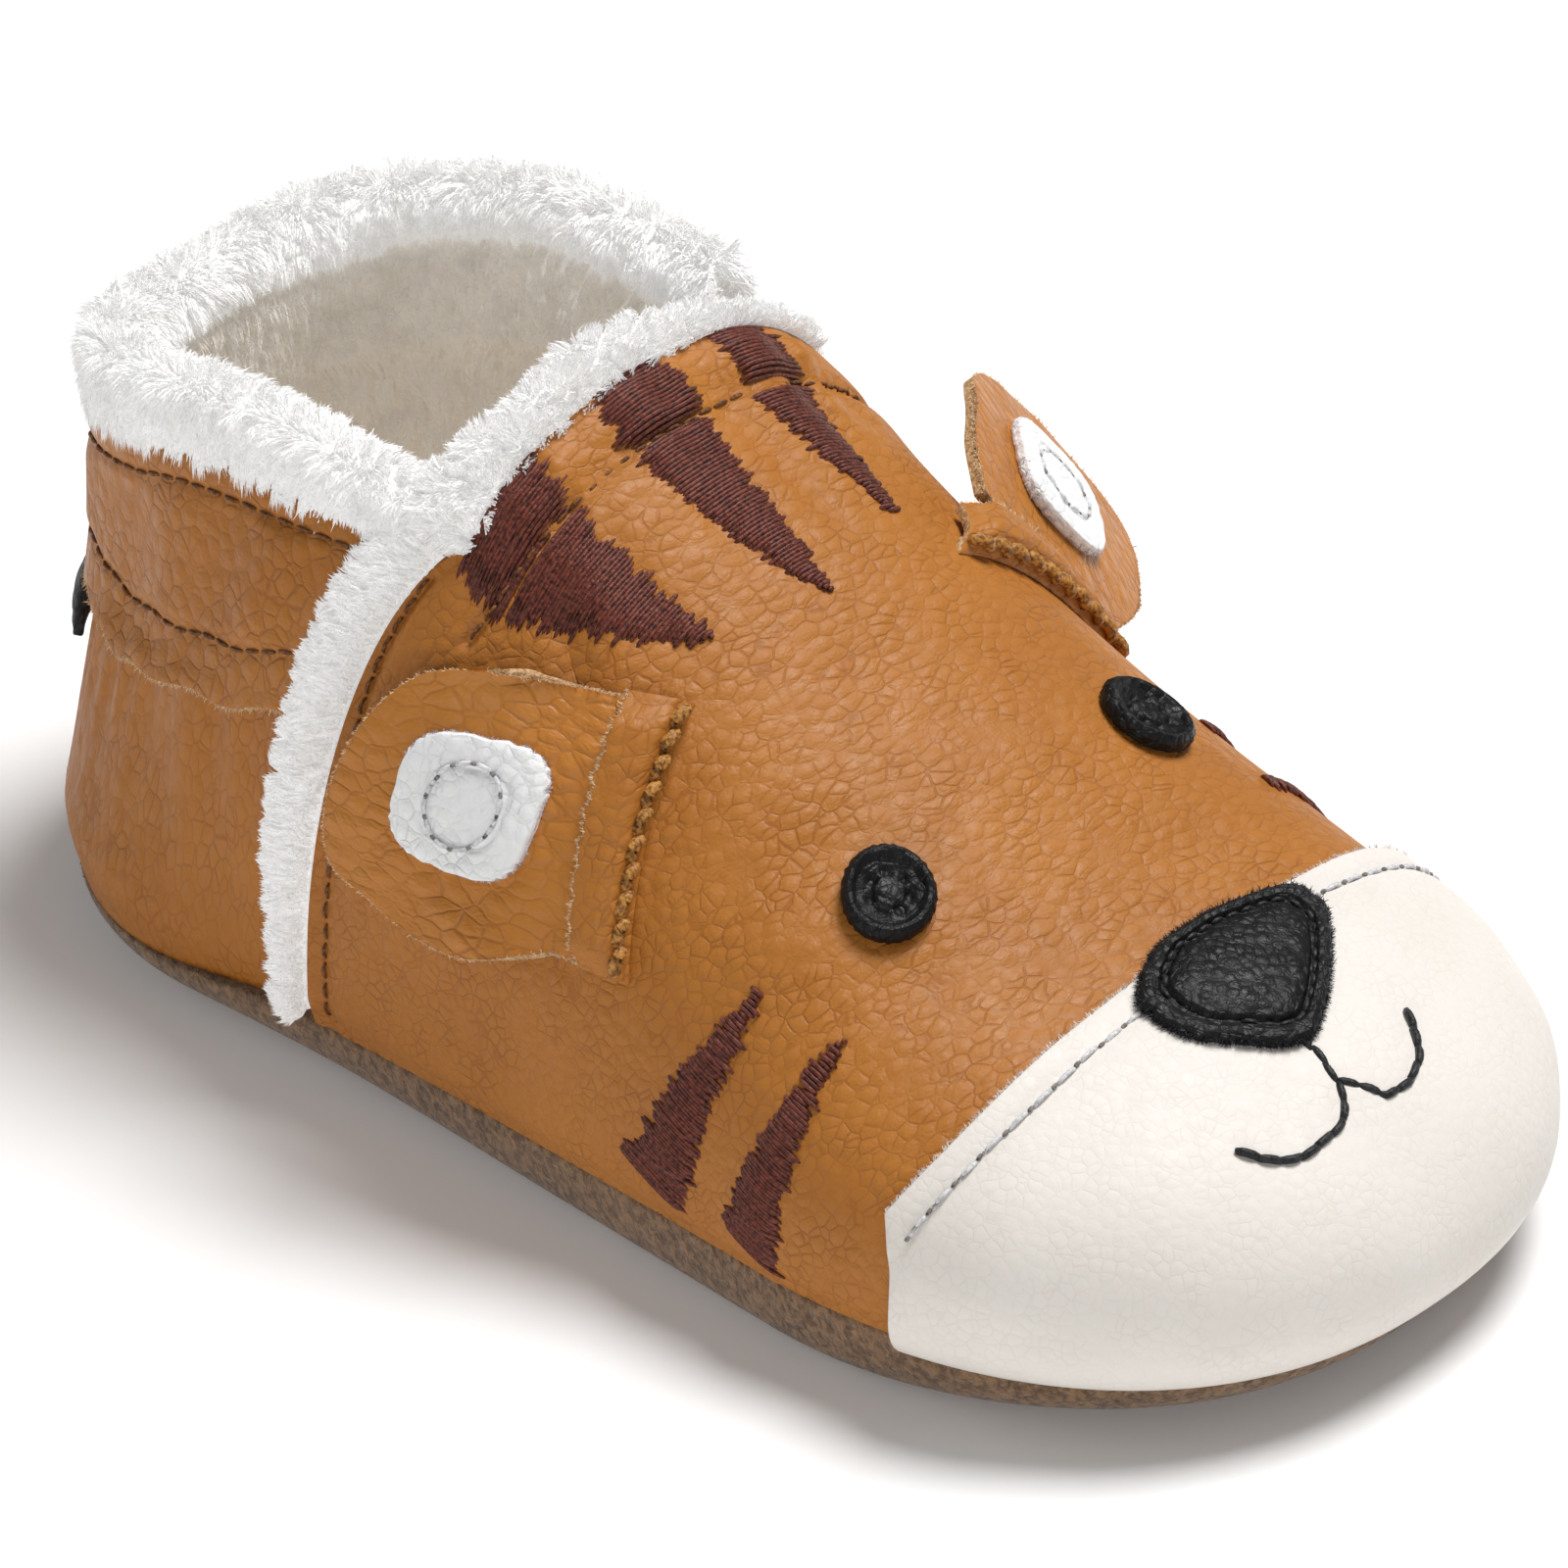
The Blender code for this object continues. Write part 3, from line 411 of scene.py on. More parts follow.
def ear_hinge(side):
    """Low end and direction of the line that an ear turns about, and the height of its middle."""
    ear = EAR[side]
    half = read(ear["outline"], "half_height", ear["base_x"])
    centre = read(ear["outline"], "centre_z", ear["base_x"])
    low = vamp_side(ear["base_x"] - ear["slant"], centre - half)
    high = vamp_side(ear["base_x"] + ear["slant"], centre + half)
    return low, (high - low) / np.linalg.norm(high - low), centre


def ear_point(x, z, height, side):
    """Point at a height above the ear's lying place, turned out about the ear's base line."""
    x, z = np.broadcast_arrays(np.asarray(x, float), np.asarray(z, float))
    lying = vamp_side(x, z)
    along = vamp_side(x - LENGTH_STEP, z) - vamp_side(x + LENGTH_STEP, z)
    up = vamp_side(x, z + LENGTH_STEP) - vamp_side(x, z - LENGTH_STEP)
    outward = np.cross(along, up)
    outward /= np.linalg.norm(outward, axis=-1, keepdims=True)
    lying = lying + outward * np.asarray(height)[..., None]
    low, hinge, _ = ear_hinge(side)
    arm = lying - low
    level = arm - hinge * (arm @ hinge)[..., None]
    behind = np.maximum(-level[..., 0], 0)
    turn = -EAR_FLARE * smooth(behind / EAR_BEND)[..., None]
    swung = arm * np.cos(turn) + np.cross(hinge, arm) * np.sin(turn)
    swung = swung + hinge * (arm @ hinge)[..., None] * (1 - np.cos(turn))
    return (low + swung) * np.array([1, side, 1])


def flared_ear(x, z, height):
    """Point at a height above the left ear, which stands out flat from its base and bows back a little."""
    _, hinge, centre = ear_hinge(1)
    base_x = EAR[1]["base_x"]
    back = np.array([-1.0, 0, 0]) + hinge * hinge[0]
    back /= np.linalg.norm(back)
    out = np.cross(back, hinge)
    level = back * math.cos(LEFT_EAR_FLARE) + out * math.sin(LEFT_EAR_FLARE)
    reach = level * math.cos(LEFT_EAR_TILT) + hinge * math.sin(LEFT_EAR_TILT)
    facing = np.cross(reach, hinge)
    facing /= np.linalg.norm(facing)
    along = base_x - np.asarray(x, float)
    lift = height - LEFT_EAR_BOW * along ** 2 / LEFT_EAR_LENGTH
    up = (np.asarray(z, float) - centre) / hinge[2]
    middle = vamp_side(base_x, centre)
    return middle + hinge * up[..., None] + reach * along[..., None] + facing * lift[..., None]


def ear_face(x, z, height, side):
    """Point above the face of an ear flap."""
    return flared_ear(x, z, height) if side > 0 else ear_point(x, z, height, side)


class Finish:
    """A procedural material while its nodes are put together."""

    def __init__(self, name, **constants):
        self.material = bpy.data.materials.new(name)
        self.material.use_nodes = True
        self.tree = self.material.node_tree
        self.shader = self.tree.nodes["Principled BSDF"]
        self.place = self.tree.nodes.new("ShaderNodeTexCoord").outputs["Object"]
        for socket, value in constants.items():
            self.shader.inputs[socket.replace("_", " ")].default_value = value

    def node(self, kind, output=0, settings=None, **inputs):
        """New node: its inputs by name, or by number after an underscore."""
        made = self.tree.nodes.new("ShaderNode" + kind)
        for key, value in (settings or {}).items():
            setattr(made, key, value)
        for key, value in inputs.items():
            socket = made.inputs[int(key[1:]) if key[0] == "_" else key.replace("_", " ")]
            if isinstance(value, bpy.types.NodeSocket):
                self.tree.links.new(value, socket)
            else:
                socket.default_value = value
        return made.outputs[output]

    def math(self, operation, a, b=0.0, c=0.0):
        """One arithmetic step."""
        return self.node("Math", settings={"operation": operation}, _0=a, _1=b, _2=c)

    def noise(self, size, place=None, detail=3.0, output=0):
        """Cloudy pattern with features of a size in millimetres."""
        return self.node("TexNoise", output, Vector=place or self.place, Scale=1000 / size, Detail=detail)

    def warped(self, size, amount, stretch=(1, 1, 1)):
        """Object coordinates pulled about by a cloudy pattern, and stretched along the axes."""
        pulled = self.node("VectorMath", settings={"operation": "MULTIPLY_ADD"},
                           _0=self.noise(size, detail=2.0, output=1), _1=(amount * MM,) * 3, _2=self.place)
        return self.node("Mapping", Vector=pulled, Scale=stretch)

    def cells(self, size, place):
        """Distance to the nearest border of irregular cells of a size in millimetres."""
        return self.node("TexVoronoi", settings={"feature": "DISTANCE_TO_EDGE"},
                         Vector=place, Scale=1000 / size)

    def pebbles(self, size, place):
        """Plump domes on the same cells."""
        reach = self.node("TexVoronoi", settings={"feature": "SMOOTH_F1"}, Vector=place, Scale=1000 / size,
                          Smoothness=0.25)
        return self.ease(reach, 0.05, 0.75, 1.0, 0.0)

    def ease(self, value, low, high, to_low=0.0, to_high=1.0):
        """Smooth step of a value between two limits."""
        return self.node("MapRange", settings={"interpolation_type": "SMOOTHSTEP"}, Value=value,
                         From_Min=low, From_Max=high, To_Min=to_low, To_Max=to_high)

    def blend(self, share, dark, light):
        """Colour between two colours."""
        made = self.tree.nodes.new("ShaderNodeMix")
        made.data_type = "RGBA"
        for socket, value in ((0, share), (6, dark), (7, light)):
            if isinstance(value, bpy.types.NodeSocket):
                self.tree.links.new(value, made.inputs[socket])
            else:
                made.inputs[socket].default_value = value if socket == 0 else (*value, 1.0)
        return made.outputs[2]

    def done(self, colour, height, depth, roughness=None):
        """Join the patterns to the shader: height in shares of a depth in millimetres."""
        self.tree.links.new(colour, self.shader.inputs["Base Color"])
        if roughness is not None:
            self.tree.links.new(roughness, self.shader.inputs["Roughness"])
        bump = self.node("Bump", Height=height, Distance=depth * MM, Strength=1.0)
        self.tree.links.new(bump, self.shader.inputs["Normal"])
        return self.material


def leather(name, light, dark, cell, depth, gloss=(0.45, 0.6), stretch=(1, 1, 1), shine=0.28):
    """Tumbled leather: domed plates with thin grooves of varied depth, finer grain on top, and pores."""
    f = Finish(name, Specular_IOR_Level=shine, Coat_Weight=0.03, Coat_Roughness=0.4)
    place = f.warped(cell * 2.2, cell * 0.7, stretch)
    deep = f.ease(f.noise(cell * 3.4), 0.3, 0.7, 0.15, 1.0)
    border = f.cells(cell, place)
    dome = f.pebbles(cell, place)
    groove = f.math("MULTIPLY", f.ease(border, 0.0, 0.1, 1.0, 0.0), deep)
    small = f.ease(f.cells(cell * 0.42, place), 0.0, 0.3)
    pores = f.noise(0.3, detail=4.0)
    height = f.math("MULTIPLY_ADD", dome, 0.8, f.math("MULTIPLY", groove, -0.35))
    height = f.math("MULTIPLY_ADD", small, 0.12, f.math("MULTIPLY_ADD", pores, 0.1, height))
    tone = f.math("MULTIPLY_ADD", f.noise(11.0, detail=4.0), 0.8, 0.1)
    shade = f.math("SUBTRACT", tone, f.math("MULTIPLY", groove, GROOVE_TONE))
    rough = f.ease(f.noise(1.4), 0.3, 0.7, *gloss)
    return f.done(f.blend(shade, dark, light), height, depth, rough)


def raw_edge(name, light, dark):
    """Cut edge of leather: pale, fuzzy fibres."""
    f = Finish(name, Roughness=0.9, Specular_IOR_Level=0.2)
    fibres = f.noise(0.35, f.warped(0.8, 0.6, (1, 1, 0.5)), 5.0)
    return f.done(f.blend(f.ease(fibres, 0.3, 0.7), dark, light), fibres, 0.35)


def suede(name, light, dark):
    """Napped suede with short fibres in several tones."""
    f = Finish(name, Roughness=0.95, Specular_IOR_Level=0.15, Sheen_Weight=0.25, Sheen_Roughness=0.6)
    fibres = f.noise(0.6, f.warped(1.0, 1.2, (1, 1, 0.6)), 6.0)
    patches = f.noise(6.0)
    streaks = f.math("MULTIPLY_ADD", f.ease(fibres, 0.3, 0.7), 0.8, -0.15)
    shade = f.math("MULTIPLY_ADD", patches, 0.5, streaks)
    return f.done(f.blend(shade, dark, light), fibres, 0.5)


def fleece(name, light, dark, lock=2.2, painted_glow=0.16):
    """Deep white pile: soft clumps and fine hairs. The pile glows a little in its own colour: painted light
    standing in for the light that passes through the hairs, which lifts their shade.
    """
    f = Finish(name, Roughness=0.95, Specular_IOR_Level=0.1, Sheen_Weight=0.5, Sheen_Roughness=0.4,
               Emission_Color=(*light, 1.0), Emission_Strength=painted_glow)
    clumps = f.noise(lock, f.warped(lock * 1.5, lock * 0.8), 4.0)
    hairs = f.noise(0.3, f.warped(1.2, 0.9), 3.0)
    height = f.math("MULTIPLY_ADD", hairs, 0.35, clumps)
    shade = f.math("MULTIPLY_ADD", hairs, 0.3, f.ease(clumps, 0.25, 0.6, 0.0, 0.8))
    return f.done(f.blend(shade, dark, light), height, 0.9)


def thread(name, light, dark, roughness=0.45, twist=0.35):
    """Twisted sewing thread with a low sheen. Its colour follows the raised plies: the light colour is a
    painted highlight on each ply, the dark colour painted shade between them.
    """
    f = Finish(name, Roughness=roughness, Specular_IOR_Level=0.25, Sheen_Weight=0.05)
    ply_relief_and_highlight = f.noise(twist, f.warped(0.5, 0.3), 3.0)
    return f.done(f.blend(f.ease(ply_relief_and_highlight, 0.3, 0.7), dark, light), ply_relief_and_highlight, 0.12)


GROOVE_TONE = 0.45
TAN_LIGHT = (0.51, 0.2, 0.034)
TAN_DARK = (0.33, 0.11, 0.014)

VAMP_LEATHER = leather("vamp leather", TAN_LIGHT, TAN_DARK, 1.1, 0.13, stretch=(1.0, 0.58, 1.0))
QUARTER_LEATHER = leather("quarter leather", TAN_LIGHT, TAN_DARK, 1.2, 0.12, stretch=(1.1, 1.1, 0.6))
BAND_LEATHER = leather("band leather", TAN_LIGHT, TAN_DARK, 1.7, 0.2, gloss=(0.4, 0.54))
EAR_LEATHER = leather("ear leather", (0.57, 0.23, 0.042), (0.4, 0.14, 0.02), 1.5, 0.24, (0.38, 0.52),
                      (0.6, 1, 1.0))
CREAM_LEATHER = leather("cream leather", (0.83, 0.79, 0.74), (0.75, 0.7, 0.64), 1.0, 0.04, (0.5, 0.64))
BLACK_LEATHER = leather("black leather", (0.01, 0.0105, 0.0115), (0.003, 0.003, 0.0035), 1.0, 0.16,
                        (0.36, 0.52), shine=0.2)
WHITE_LEATHER = leather("white leather", (0.95, 0.95, 0.945), (0.82, 0.82, 0.82), 1.2, 0.16, (0.55, 0.7))
TAN_EDGE = raw_edge("tan cut edge", (0.72, 0.5, 0.28), (0.4, 0.2, 0.07))
CREAM_EDGE = raw_edge("cream cut edge", (0.86, 0.83, 0.8), (0.6, 0.56, 0.53))
BLACK_EDGE = raw_edge("black cut edge", (0.05, 0.053, 0.06), (0.01, 0.01, 0.012))
TAN_FIBRE = raw_edge("tan fibres", (0.88, 0.66, 0.42), (0.6, 0.38, 0.2))
WHITE_EDGE = raw_edge("white cut edge", (0.72, 0.72, 0.8), (0.45, 0.45, 0.54))
SOLE_SUEDE = suede("sole suede", (0.3, 0.17, 0.08), (0.075, 0.036, 0.015))
# Every fleece glows a little, which is painted light. The footbed fleece glows most, lifting the shade
# inside the shoe.
FLEECE = fleece("white fleece", (0.96, 0.955, 0.945), (0.88, 0.86, 0.83))
LINING_FLEECE = fleece("lining fleece", (0.84, 0.77, 0.68), (0.68, 0.6, 0.5), 3.0, 0.14)
FOOTBED_FLEECE = fleece("footbed fleece", (0.86, 0.8, 0.71), (0.7, 0.63, 0.53), 3.0, 0.2)
FUR_HAIR = fleece("fleece hairs", (0.97, 0.965, 0.96), (0.93, 0.92, 0.9), 4.0)
LINING_HAIR = fleece("lining hairs", (0.86, 0.81, 0.74), (0.72, 0.66, 0.58), 4.0, 0.15)
# Each thread's light colour is a painted highlight on its raised plies, and its dark colour is painted shade
# between them.
BROWN_SATIN = thread("stripe thread", (0.2, 0.05, 0.03), (0.055, 0.012, 0.008), 0.42)
HEM_THREAD = thread("hem thread", (0.26, 0.1, 0.026), (0.07, 0.025, 0.008), 0.5)
EAR_THREAD = thread("ear thread", (0.6, 0.28, 0.06), (0.13, 0.045, 0.009), 0.45)
SILVER_THREAD = thread("cap thread", (0.8, 0.79, 0.8), (0.5, 0.5, 0.52), 0.3)
BLACK_THREAD = thread("mouth thread", (0.03, 0.031, 0.034), (0.008, 0.008, 0.009), 0.45)
# Grey marks at the needle holes next to stitches: painted shade inside the holes.
HOLE_SHADE = thread("needle hole shade", (0.3, 0.28, 0.26), (0.14, 0.13, 0.12), 0.8)
TAPE = thread("heel tape", (0.03, 0.03, 0.033), (0.008, 0.008, 0.009), 0.6, 0.5)


def attach(name, mesh, materials, nodes=()):
    """Object for a finished mesh, riding with the shoe and standing for its solids."""
    for material in materials:
        mesh.materials.append(material)
    mesh.shade_smooth()
    piece = bpy.data.objects.new(name, mesh)
    bpy.context.scene.collection.objects.link(piece)
    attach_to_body(piece, "root")
    if nodes:
        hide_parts(*nodes)
    return piece


def sheet(name, columns, rows, place, materials, nodes=(), thick=0.0, edge=0.0, flip=False,
          closed=False):
    """Sheet of cells whose points are placed by two shares from 0 to 1, thickened inwards."""
    shape = bmesh.new()
    bmesh.ops.create_grid(shape, x_segments=columns, y_segments=rows, size=0.5)
    shape.verts.ensure_lookup_table()
    shares = np.array([v.co[:2] for v in shape.verts]) + 0.5
    points = place(shares[:, 0], shares[:, 1]) * MM
    for vert, point in zip(shape.verts, points):
        vert.co = point
    bmesh.ops.remove_doubles(shape, verts=shape.verts, dist=MERGE_DISTANCE)
    if closed:
        bmesh.ops.dissolve_degenerate(shape, edges=shape.edges, dist=MERGE_DISTANCE)
        bmesh.ops.recalc_face_normals(shape, faces=shape.faces)
    if flip:
        bmesh.ops.reverse_faces(shape, faces=shape.faces)
    mesh = bpy.data.meshes.new(name)
    shape.to_mesh(mesh)
    shape.free()
    piece = attach(name, mesh, materials, nodes)
    if thick:
        wall = piece.modifiers.new("thickness", "SOLIDIFY")
        wall.thickness = thick * MM
        wall.offset = -1.0
        wall.material_offset_rim = len(materials) - 1
        wall.use_quality_normals = True
    if edge:
        rounding = piece.modifiers.new("edge", "BEVEL")
        rounding.width = edge * MM
        rounding.segments = ROUNDING_STEPS
        rounding.limit_method = "ANGLE"
        rounding.angle_limit = ROUNDED_FROM
    return piece


def strands(name, lines, radii, material, sides=3, nodes=()):
    """Many thin threads as one mesh: lines holds the points of each, radii the thickness along it."""
    lines = np.asarray(lines, float)
    count, length = lines.shape[:2]
    along = np.gradient(lines, axis=1)
    along /= np.maximum(np.linalg.norm(along, axis=-1, keepdims=True), TINY)
    helper = np.where(np.abs(along[..., 2:]) > 0.8, [1.0, 0.0, 0.0], [0.0, 0.0, 1.0])
    side = np.cross(along, helper)
    side /= np.linalg.norm(side, axis=-1, keepdims=True)
    other = np.cross(along, side)
    turn = np.arange(sides) * 2 * math.pi / sides
    ring = side[..., None, :] * np.cos(turn)[:, None] + other[..., None, :] * np.sin(turn)[:, None]
    radii = np.broadcast_to(np.asarray(radii, float), (count, length))
    points = lines[..., None, :] + ring * radii[..., None, None]
    first = (np.arange(count) * length * sides)[:, None, None]
    level = (np.arange(length - 1) * sides)[:, None]
    here = np.arange(sides)
    after = (here + 1) % sides
    a = first + level + here
    b = first + level + after
    quads = np.stack([a, b, b + sides, a + sides], -1).reshape(-1, 4)
    starts = (first[:, 0] + here[::-1]).reshape(-1, sides)
    ends = (first[:, 0] + (length - 1) * sides + here).reshape(-1, sides)
    mesh = bpy.data.meshes.new(name)
    mesh.from_pydata(points.reshape(-1, 3) * MM, [], quads.tolist() + starts.tolist() + ends.tolist())
    return attach(name, mesh, [material], nodes)


CHUNK = 4000


def distance_to(points, line):
    """Distance of points from a finely drawn line, and how far along it the nearest place is."""
    gap = np.empty(len(points))
    share = np.empty(len(points))
    for first in range(0, len(points), CHUNK):
        part = points[first:first + CHUNK]
        squared = ((part[:, None] - line[None]) ** 2).sum(-1)
        nearest = squared.argmin(1)
        gap[first:first + CHUNK] = np.sqrt(squared[np.arange(len(part)), nearest])
        share[first:first + CHUNK] = nearest / (len(line) - 1)
    return gap, share


def curve(points, count):
    """Evenly spaced points on a smooth curve through a few points."""
    points = np.asarray(points, float)
    reach = np.concatenate([[0], np.cumsum(np.linalg.norm(np.diff(points, axis=0), axis=1))])
    at = np.linspace(0, reach[-1], count)
    return np.stack([read({"x": reach, "v": points[:, k]}, "v", at) for k in range(points.shape[1])], -1)


def hat(gap, width):
    """Soft bump across a line: 1 on it, fading within a width."""
    return np.exp(-(gap / width) ** 2)


def blades(name, root, middle, tip, side, material):
    """Many narrow blades as one mesh: side is half the width of each."""
    points = np.stack([root - side, root + side, middle + side * 0.8, middle - side * 0.8, tip], 1)
    first = np.arange(len(root))[:, None] * 5
    faces = (first + np.array([0, 1, 2, 3])).tolist() + (first + np.array([3, 2, 4])).tolist()
    mesh = bpy.data.meshes.new(name)
    mesh.from_pydata(points.reshape(-1, 3) * MM, [], faces)
    return attach(name, mesh, [material])


FUZZ_STEP = 0.03
SHOE_MIDDLE = np.array([0, 0, 15.0])


def fuzz(name, place, s, r, count, length, material, seed, depth=0.7, spread=0.6, width=0.09):
    """Short fibres out of a cut edge, which is given by shares along a placed sheet."""
    dice = np.random.default_rng(seed)
    edge = place(s, r)
    along = s if np.ptp(r) else np.full_like(s, 0.5)
    inner = [v + FUZZ_STEP * ((v <= 0) * 1.0 - (v >= 1) * 1.0) for v in (along, r)]
    out = edge - place(s + inner[0] - along, inner[1])
    out /= np.maximum(np.linalg.norm(out, axis=1, keepdims=True), TINY)
    face = np.cross(np.gradient(edge, axis=0), out)
    face *= np.sign(((edge - SHOE_MIDDLE) * face).sum(1, keepdims=True))
    face /= np.maximum(np.linalg.norm(face, axis=1, keepdims=True), TINY)
    at = dice.uniform(0, len(edge) - 1, count)
    root, out, face = [np.stack([np.interp(at, np.arange(len(edge)), v[:, k]) for k in range(3)], -1)
                       for v in (edge, out, face)]
    root = root - face * dice.uniform(0, depth, (count, 1)) - out * 0.1
    heading = out + face * dice.normal(0, spread, (count, 1)) + dice.normal(0, 0.45, (count, 3))
    heading /= np.linalg.norm(heading, axis=1, keepdims=True)
    size = length * dice.uniform(0.3, 1.0, (count, 1))
    tip = root + heading * size
    middle = (root + tip) / 2 + dice.normal(0, 0.12, (count, 3)) * size
    side = np.cross(heading, face + dice.normal(0, 0.4, (count, 3)))
    side *= width / 2 / np.maximum(np.linalg.norm(side, axis=1, keepdims=True), TINY)
    return blades(name, root, middle, tip, side, material)


# Vamp: hem seams, the puffed fold at the throat, and creases as troughs and ridges.
HEM_FROM_THROAT = 4.9
HEM_FROM_SIDE = 2.0
HEM_GROOVE = 0.6
HEM_GROOVE_WIDTH = 0.55
FOLD_PUFF = 0.75
FOLD_GATHER = 0.35
FOLD_GATHER_LENGTH = 6.5
VAMP_COLUMNS = 240
VAMP_ROWS = 120
TUCK_SHARE = 0.07
SEAM_DIP = 1.3
LEATHER_THICKNESS = 1.4
# Creases on the vamp: plan points of both ends, width and height, which is negative for a trough.
VAMP_CREASES = [
    (-9.0, -17.5, 2.0, -22.0, 1.3, -0.45), (-8.5, -11.5, 1.5, -13.5, 1.4, -0.35),
    (-8.5, -3.0, 3.0, -4.2, 1.5, -0.3), (-8.8, 4.5, 2.5, 5.5, 1.4, -0.35),
    (-9.0, 12.0, 0.0, 15.5, 1.4, -0.4), (-8.0, -15.0, 0.5, -17.5, 1.4, 0.35),
    (-8.0, 8.5, 1.0, 10.0, 1.5, 0.3), (14.0, -24.0, 20.0, -12.0, 2.4, -0.45),
    (17.0, -26.0, 22.5, -20.0, 2.0, 0.4), (28.0, -22.0, 31.5, -14.0, 2.2, -0.35),
    (12.0, 6.0, 16.0, 20.0, 2.6, -0.4), (31.0, 4.0, 33.0, 16.0, 2.4, -0.3),
    (9.0, -8.0, 12.0, 4.0, 2.8, -0.3), (20.0, -6.0, 22.0, 8.0, 3.2, 0.35),
]


def hem_level(u):
    """The w of the throat hem seam."""
    reach = np.linalg.norm(belly(u) - throat_plan(u), axis=-1)
    return np.maximum(1 - HEM_FROM_THROAT / reach, 0.05) ** (1 / RIB_BUNCHING)


def hem_lines(count=400):
    """The seam along the throat and those up the two sides, on the vamp's face."""
    u = np.linspace(-0.8, 0.8, count) * VAMP_EDGE
    throat = vamp(u, hem_level(u))
    w = np.linspace(-0.6, 0.93, count)
    edge = VAMP_EDGE - share_of(HEM_FROM_SIDE)
    return [throat, vamp(np.full(count, edge), w), vamp(np.full(count, -edge), w)]


HEMS = hem_lines()


def vamp_relief(points):
    """How far creases, seams and the fold lift the vamp's face."""
    lift = np.zeros(len(points))
    gaps = [distance_to(points, line)[0] for line in HEMS]
    for gap in gaps:
        lift -= HEM_GROOVE * hat(gap, HEM_GROOVE_WIDTH)
    behind = smooth((THROAT_X + 5.9 - points[:, 0]) / 2.0) * smooth((points[:, 2] - 30) / 12)
    wave = np.sin(points[:, 1] * 2 * math.pi / FOLD_GATHER_LENGTH + 1.3 * np.sin(points[:, 1] * 0.45))
    behind = behind * (1 - smooth((np.abs(points[:, 1]) - 14.5) / 5))
    puff = smooth(gaps[0] / 1.8) * (1 - smooth((gaps[0] - 3.2) / 2.6))
    lift += behind * puff * (FOLD_PUFF + FOLD_GATHER * wave)
    ahead = (1 - behind) * hat(gaps[0] - 2.0, 2.2) * smooth((points[:, 2] - 34) / 8)
    lift += ahead * 0.22 * wave
    for x, y, to_x, to_y, width, height in VAMP_CREASES:
        line = curve([(x, y), ((x + to_x) / 2 + 0.4, (y + to_y) / 2 - 0.3), (to_x, to_y)], 40)
        gap, share = distance_to(points[:, :2], line)
        lift += height * hat(gap, width) * np.sin(math.pi * np.clip(share, 0.02, 0.98)) ** 0.6
    return lift


def spaced(share, low, level):
    """Row place from a share: a few rows for the tuck, the rest up to a level."""
    below = low * (1 - share / TUCK_SHARE)
    above = (share - TUCK_SHARE) / (1 - TUCK_SHARE) * level
    return np.where(share < TUCK_SHARE, below, above)


def dip(point, r):
    """Let the lowest rows of a wall run down behind the rim of the sole."""
    point[:, 2] -= SEAM_DIP * np.clip(1 - 3 * r / TUCK_SHARE, 0, 1)
    return point


def place_vamp(s, r):
    """Point on the vamp's outer face."""
    u = (2 * s - 1) * VAMP_EDGE
    w = spaced(r, -1.0, 1.0)
    return dip(offset(vamp, u, w, vamp_relief(vamp(u, w))), r)


sheet("vamp", VAMP_COLUMNS, VAMP_ROWS, place_vamp, [VAMP_LEATHER], ["upper"],
      LEATHER_THICKNESS, 0.6)

# Quarter: gathers under the band and soft upright folds.
QUARTER_COLUMNS = 180
QUARTER_ROWS = 76
QUARTER_LAP = 0.012
QUARTER_THICKNESS = 1.2
QUARTER_FOLDS = [
    (0.06, 0.35, 0.03, 0.5), (0.10, 0.5, 0.02, -0.35), (0.15, 0.3, 0.025, 0.35), (0.21, 0.45, 0.03, -0.3),
    (0.27, 0.4, 0.03, 0.3), (0.35, 0.5, 0.025, -0.3), (0.43, 0.3, 0.03, 0.25), (0.5, 0.45, 0.03, -0.2),
]
GATHERS = 74


def quarter_relief(u, w):
    """Gathers below the band and soft folds of the quarter, the same on both sides."""
    side = np.where(u > 1, 2 - u, u)
    share = (side - VAMP_EDGE) / (1 - VAMP_EDGE)
    lift = 0.16 * np.sin(u * math.pi * GATHERS + 2 * np.sin(u * 21)) * hat(w - 0.4, 0.22)
    for at, level, width, height in QUARTER_FOLDS:
        lift += height * hat(share - at - 0.12 * (w - level), width) * hat(w - level, 0.3)
    return lift


def place_quarter(s, r):
    """Point on the quarter's outer face."""
    start = VAMP_EDGE - QUARTER_LAP
    u = start + (2 - 2 * start) * s
    w = spaced(r, -1.0, 1.0)
    return dip(offset(quarter, u, w, quarter_relief(u, w)), r)


sheet("quarter", QUARTER_COLUMNS, QUARTER_ROWS, place_quarter, [QUARTER_LEATHER],
      ["upper"], QUARTER_THICKNESS)

# Lining inside the wall.
LINING_DEPTH = 1.9


def place_lining(s, r):
    """Point on the lining's inner face, all round the shoe."""
    u = -VAMP_EDGE + 2 * s
    w = spaced(r, -1.0, 0.985)
    front = offset(vamp, np.clip(u, -VAMP_EDGE, VAMP_EDGE), w, -LINING_DEPTH - 1.2)
    rear = offset(quarter, np.clip(u, VAMP_EDGE, 2 - VAMP_EDGE), w, -LINING_DEPTH)
    return np.where((np.abs(u) <= VAMP_EDGE)[:, None], front, rear)


sheet("lining", 110, 36, place_lining, [LINING_FLEECE], flip=True, thick=0.4)

# Toe cap
CAP_COLUMNS = 136
CAP_ROWS = 66
CAP_STITCH_BACK = 2.4


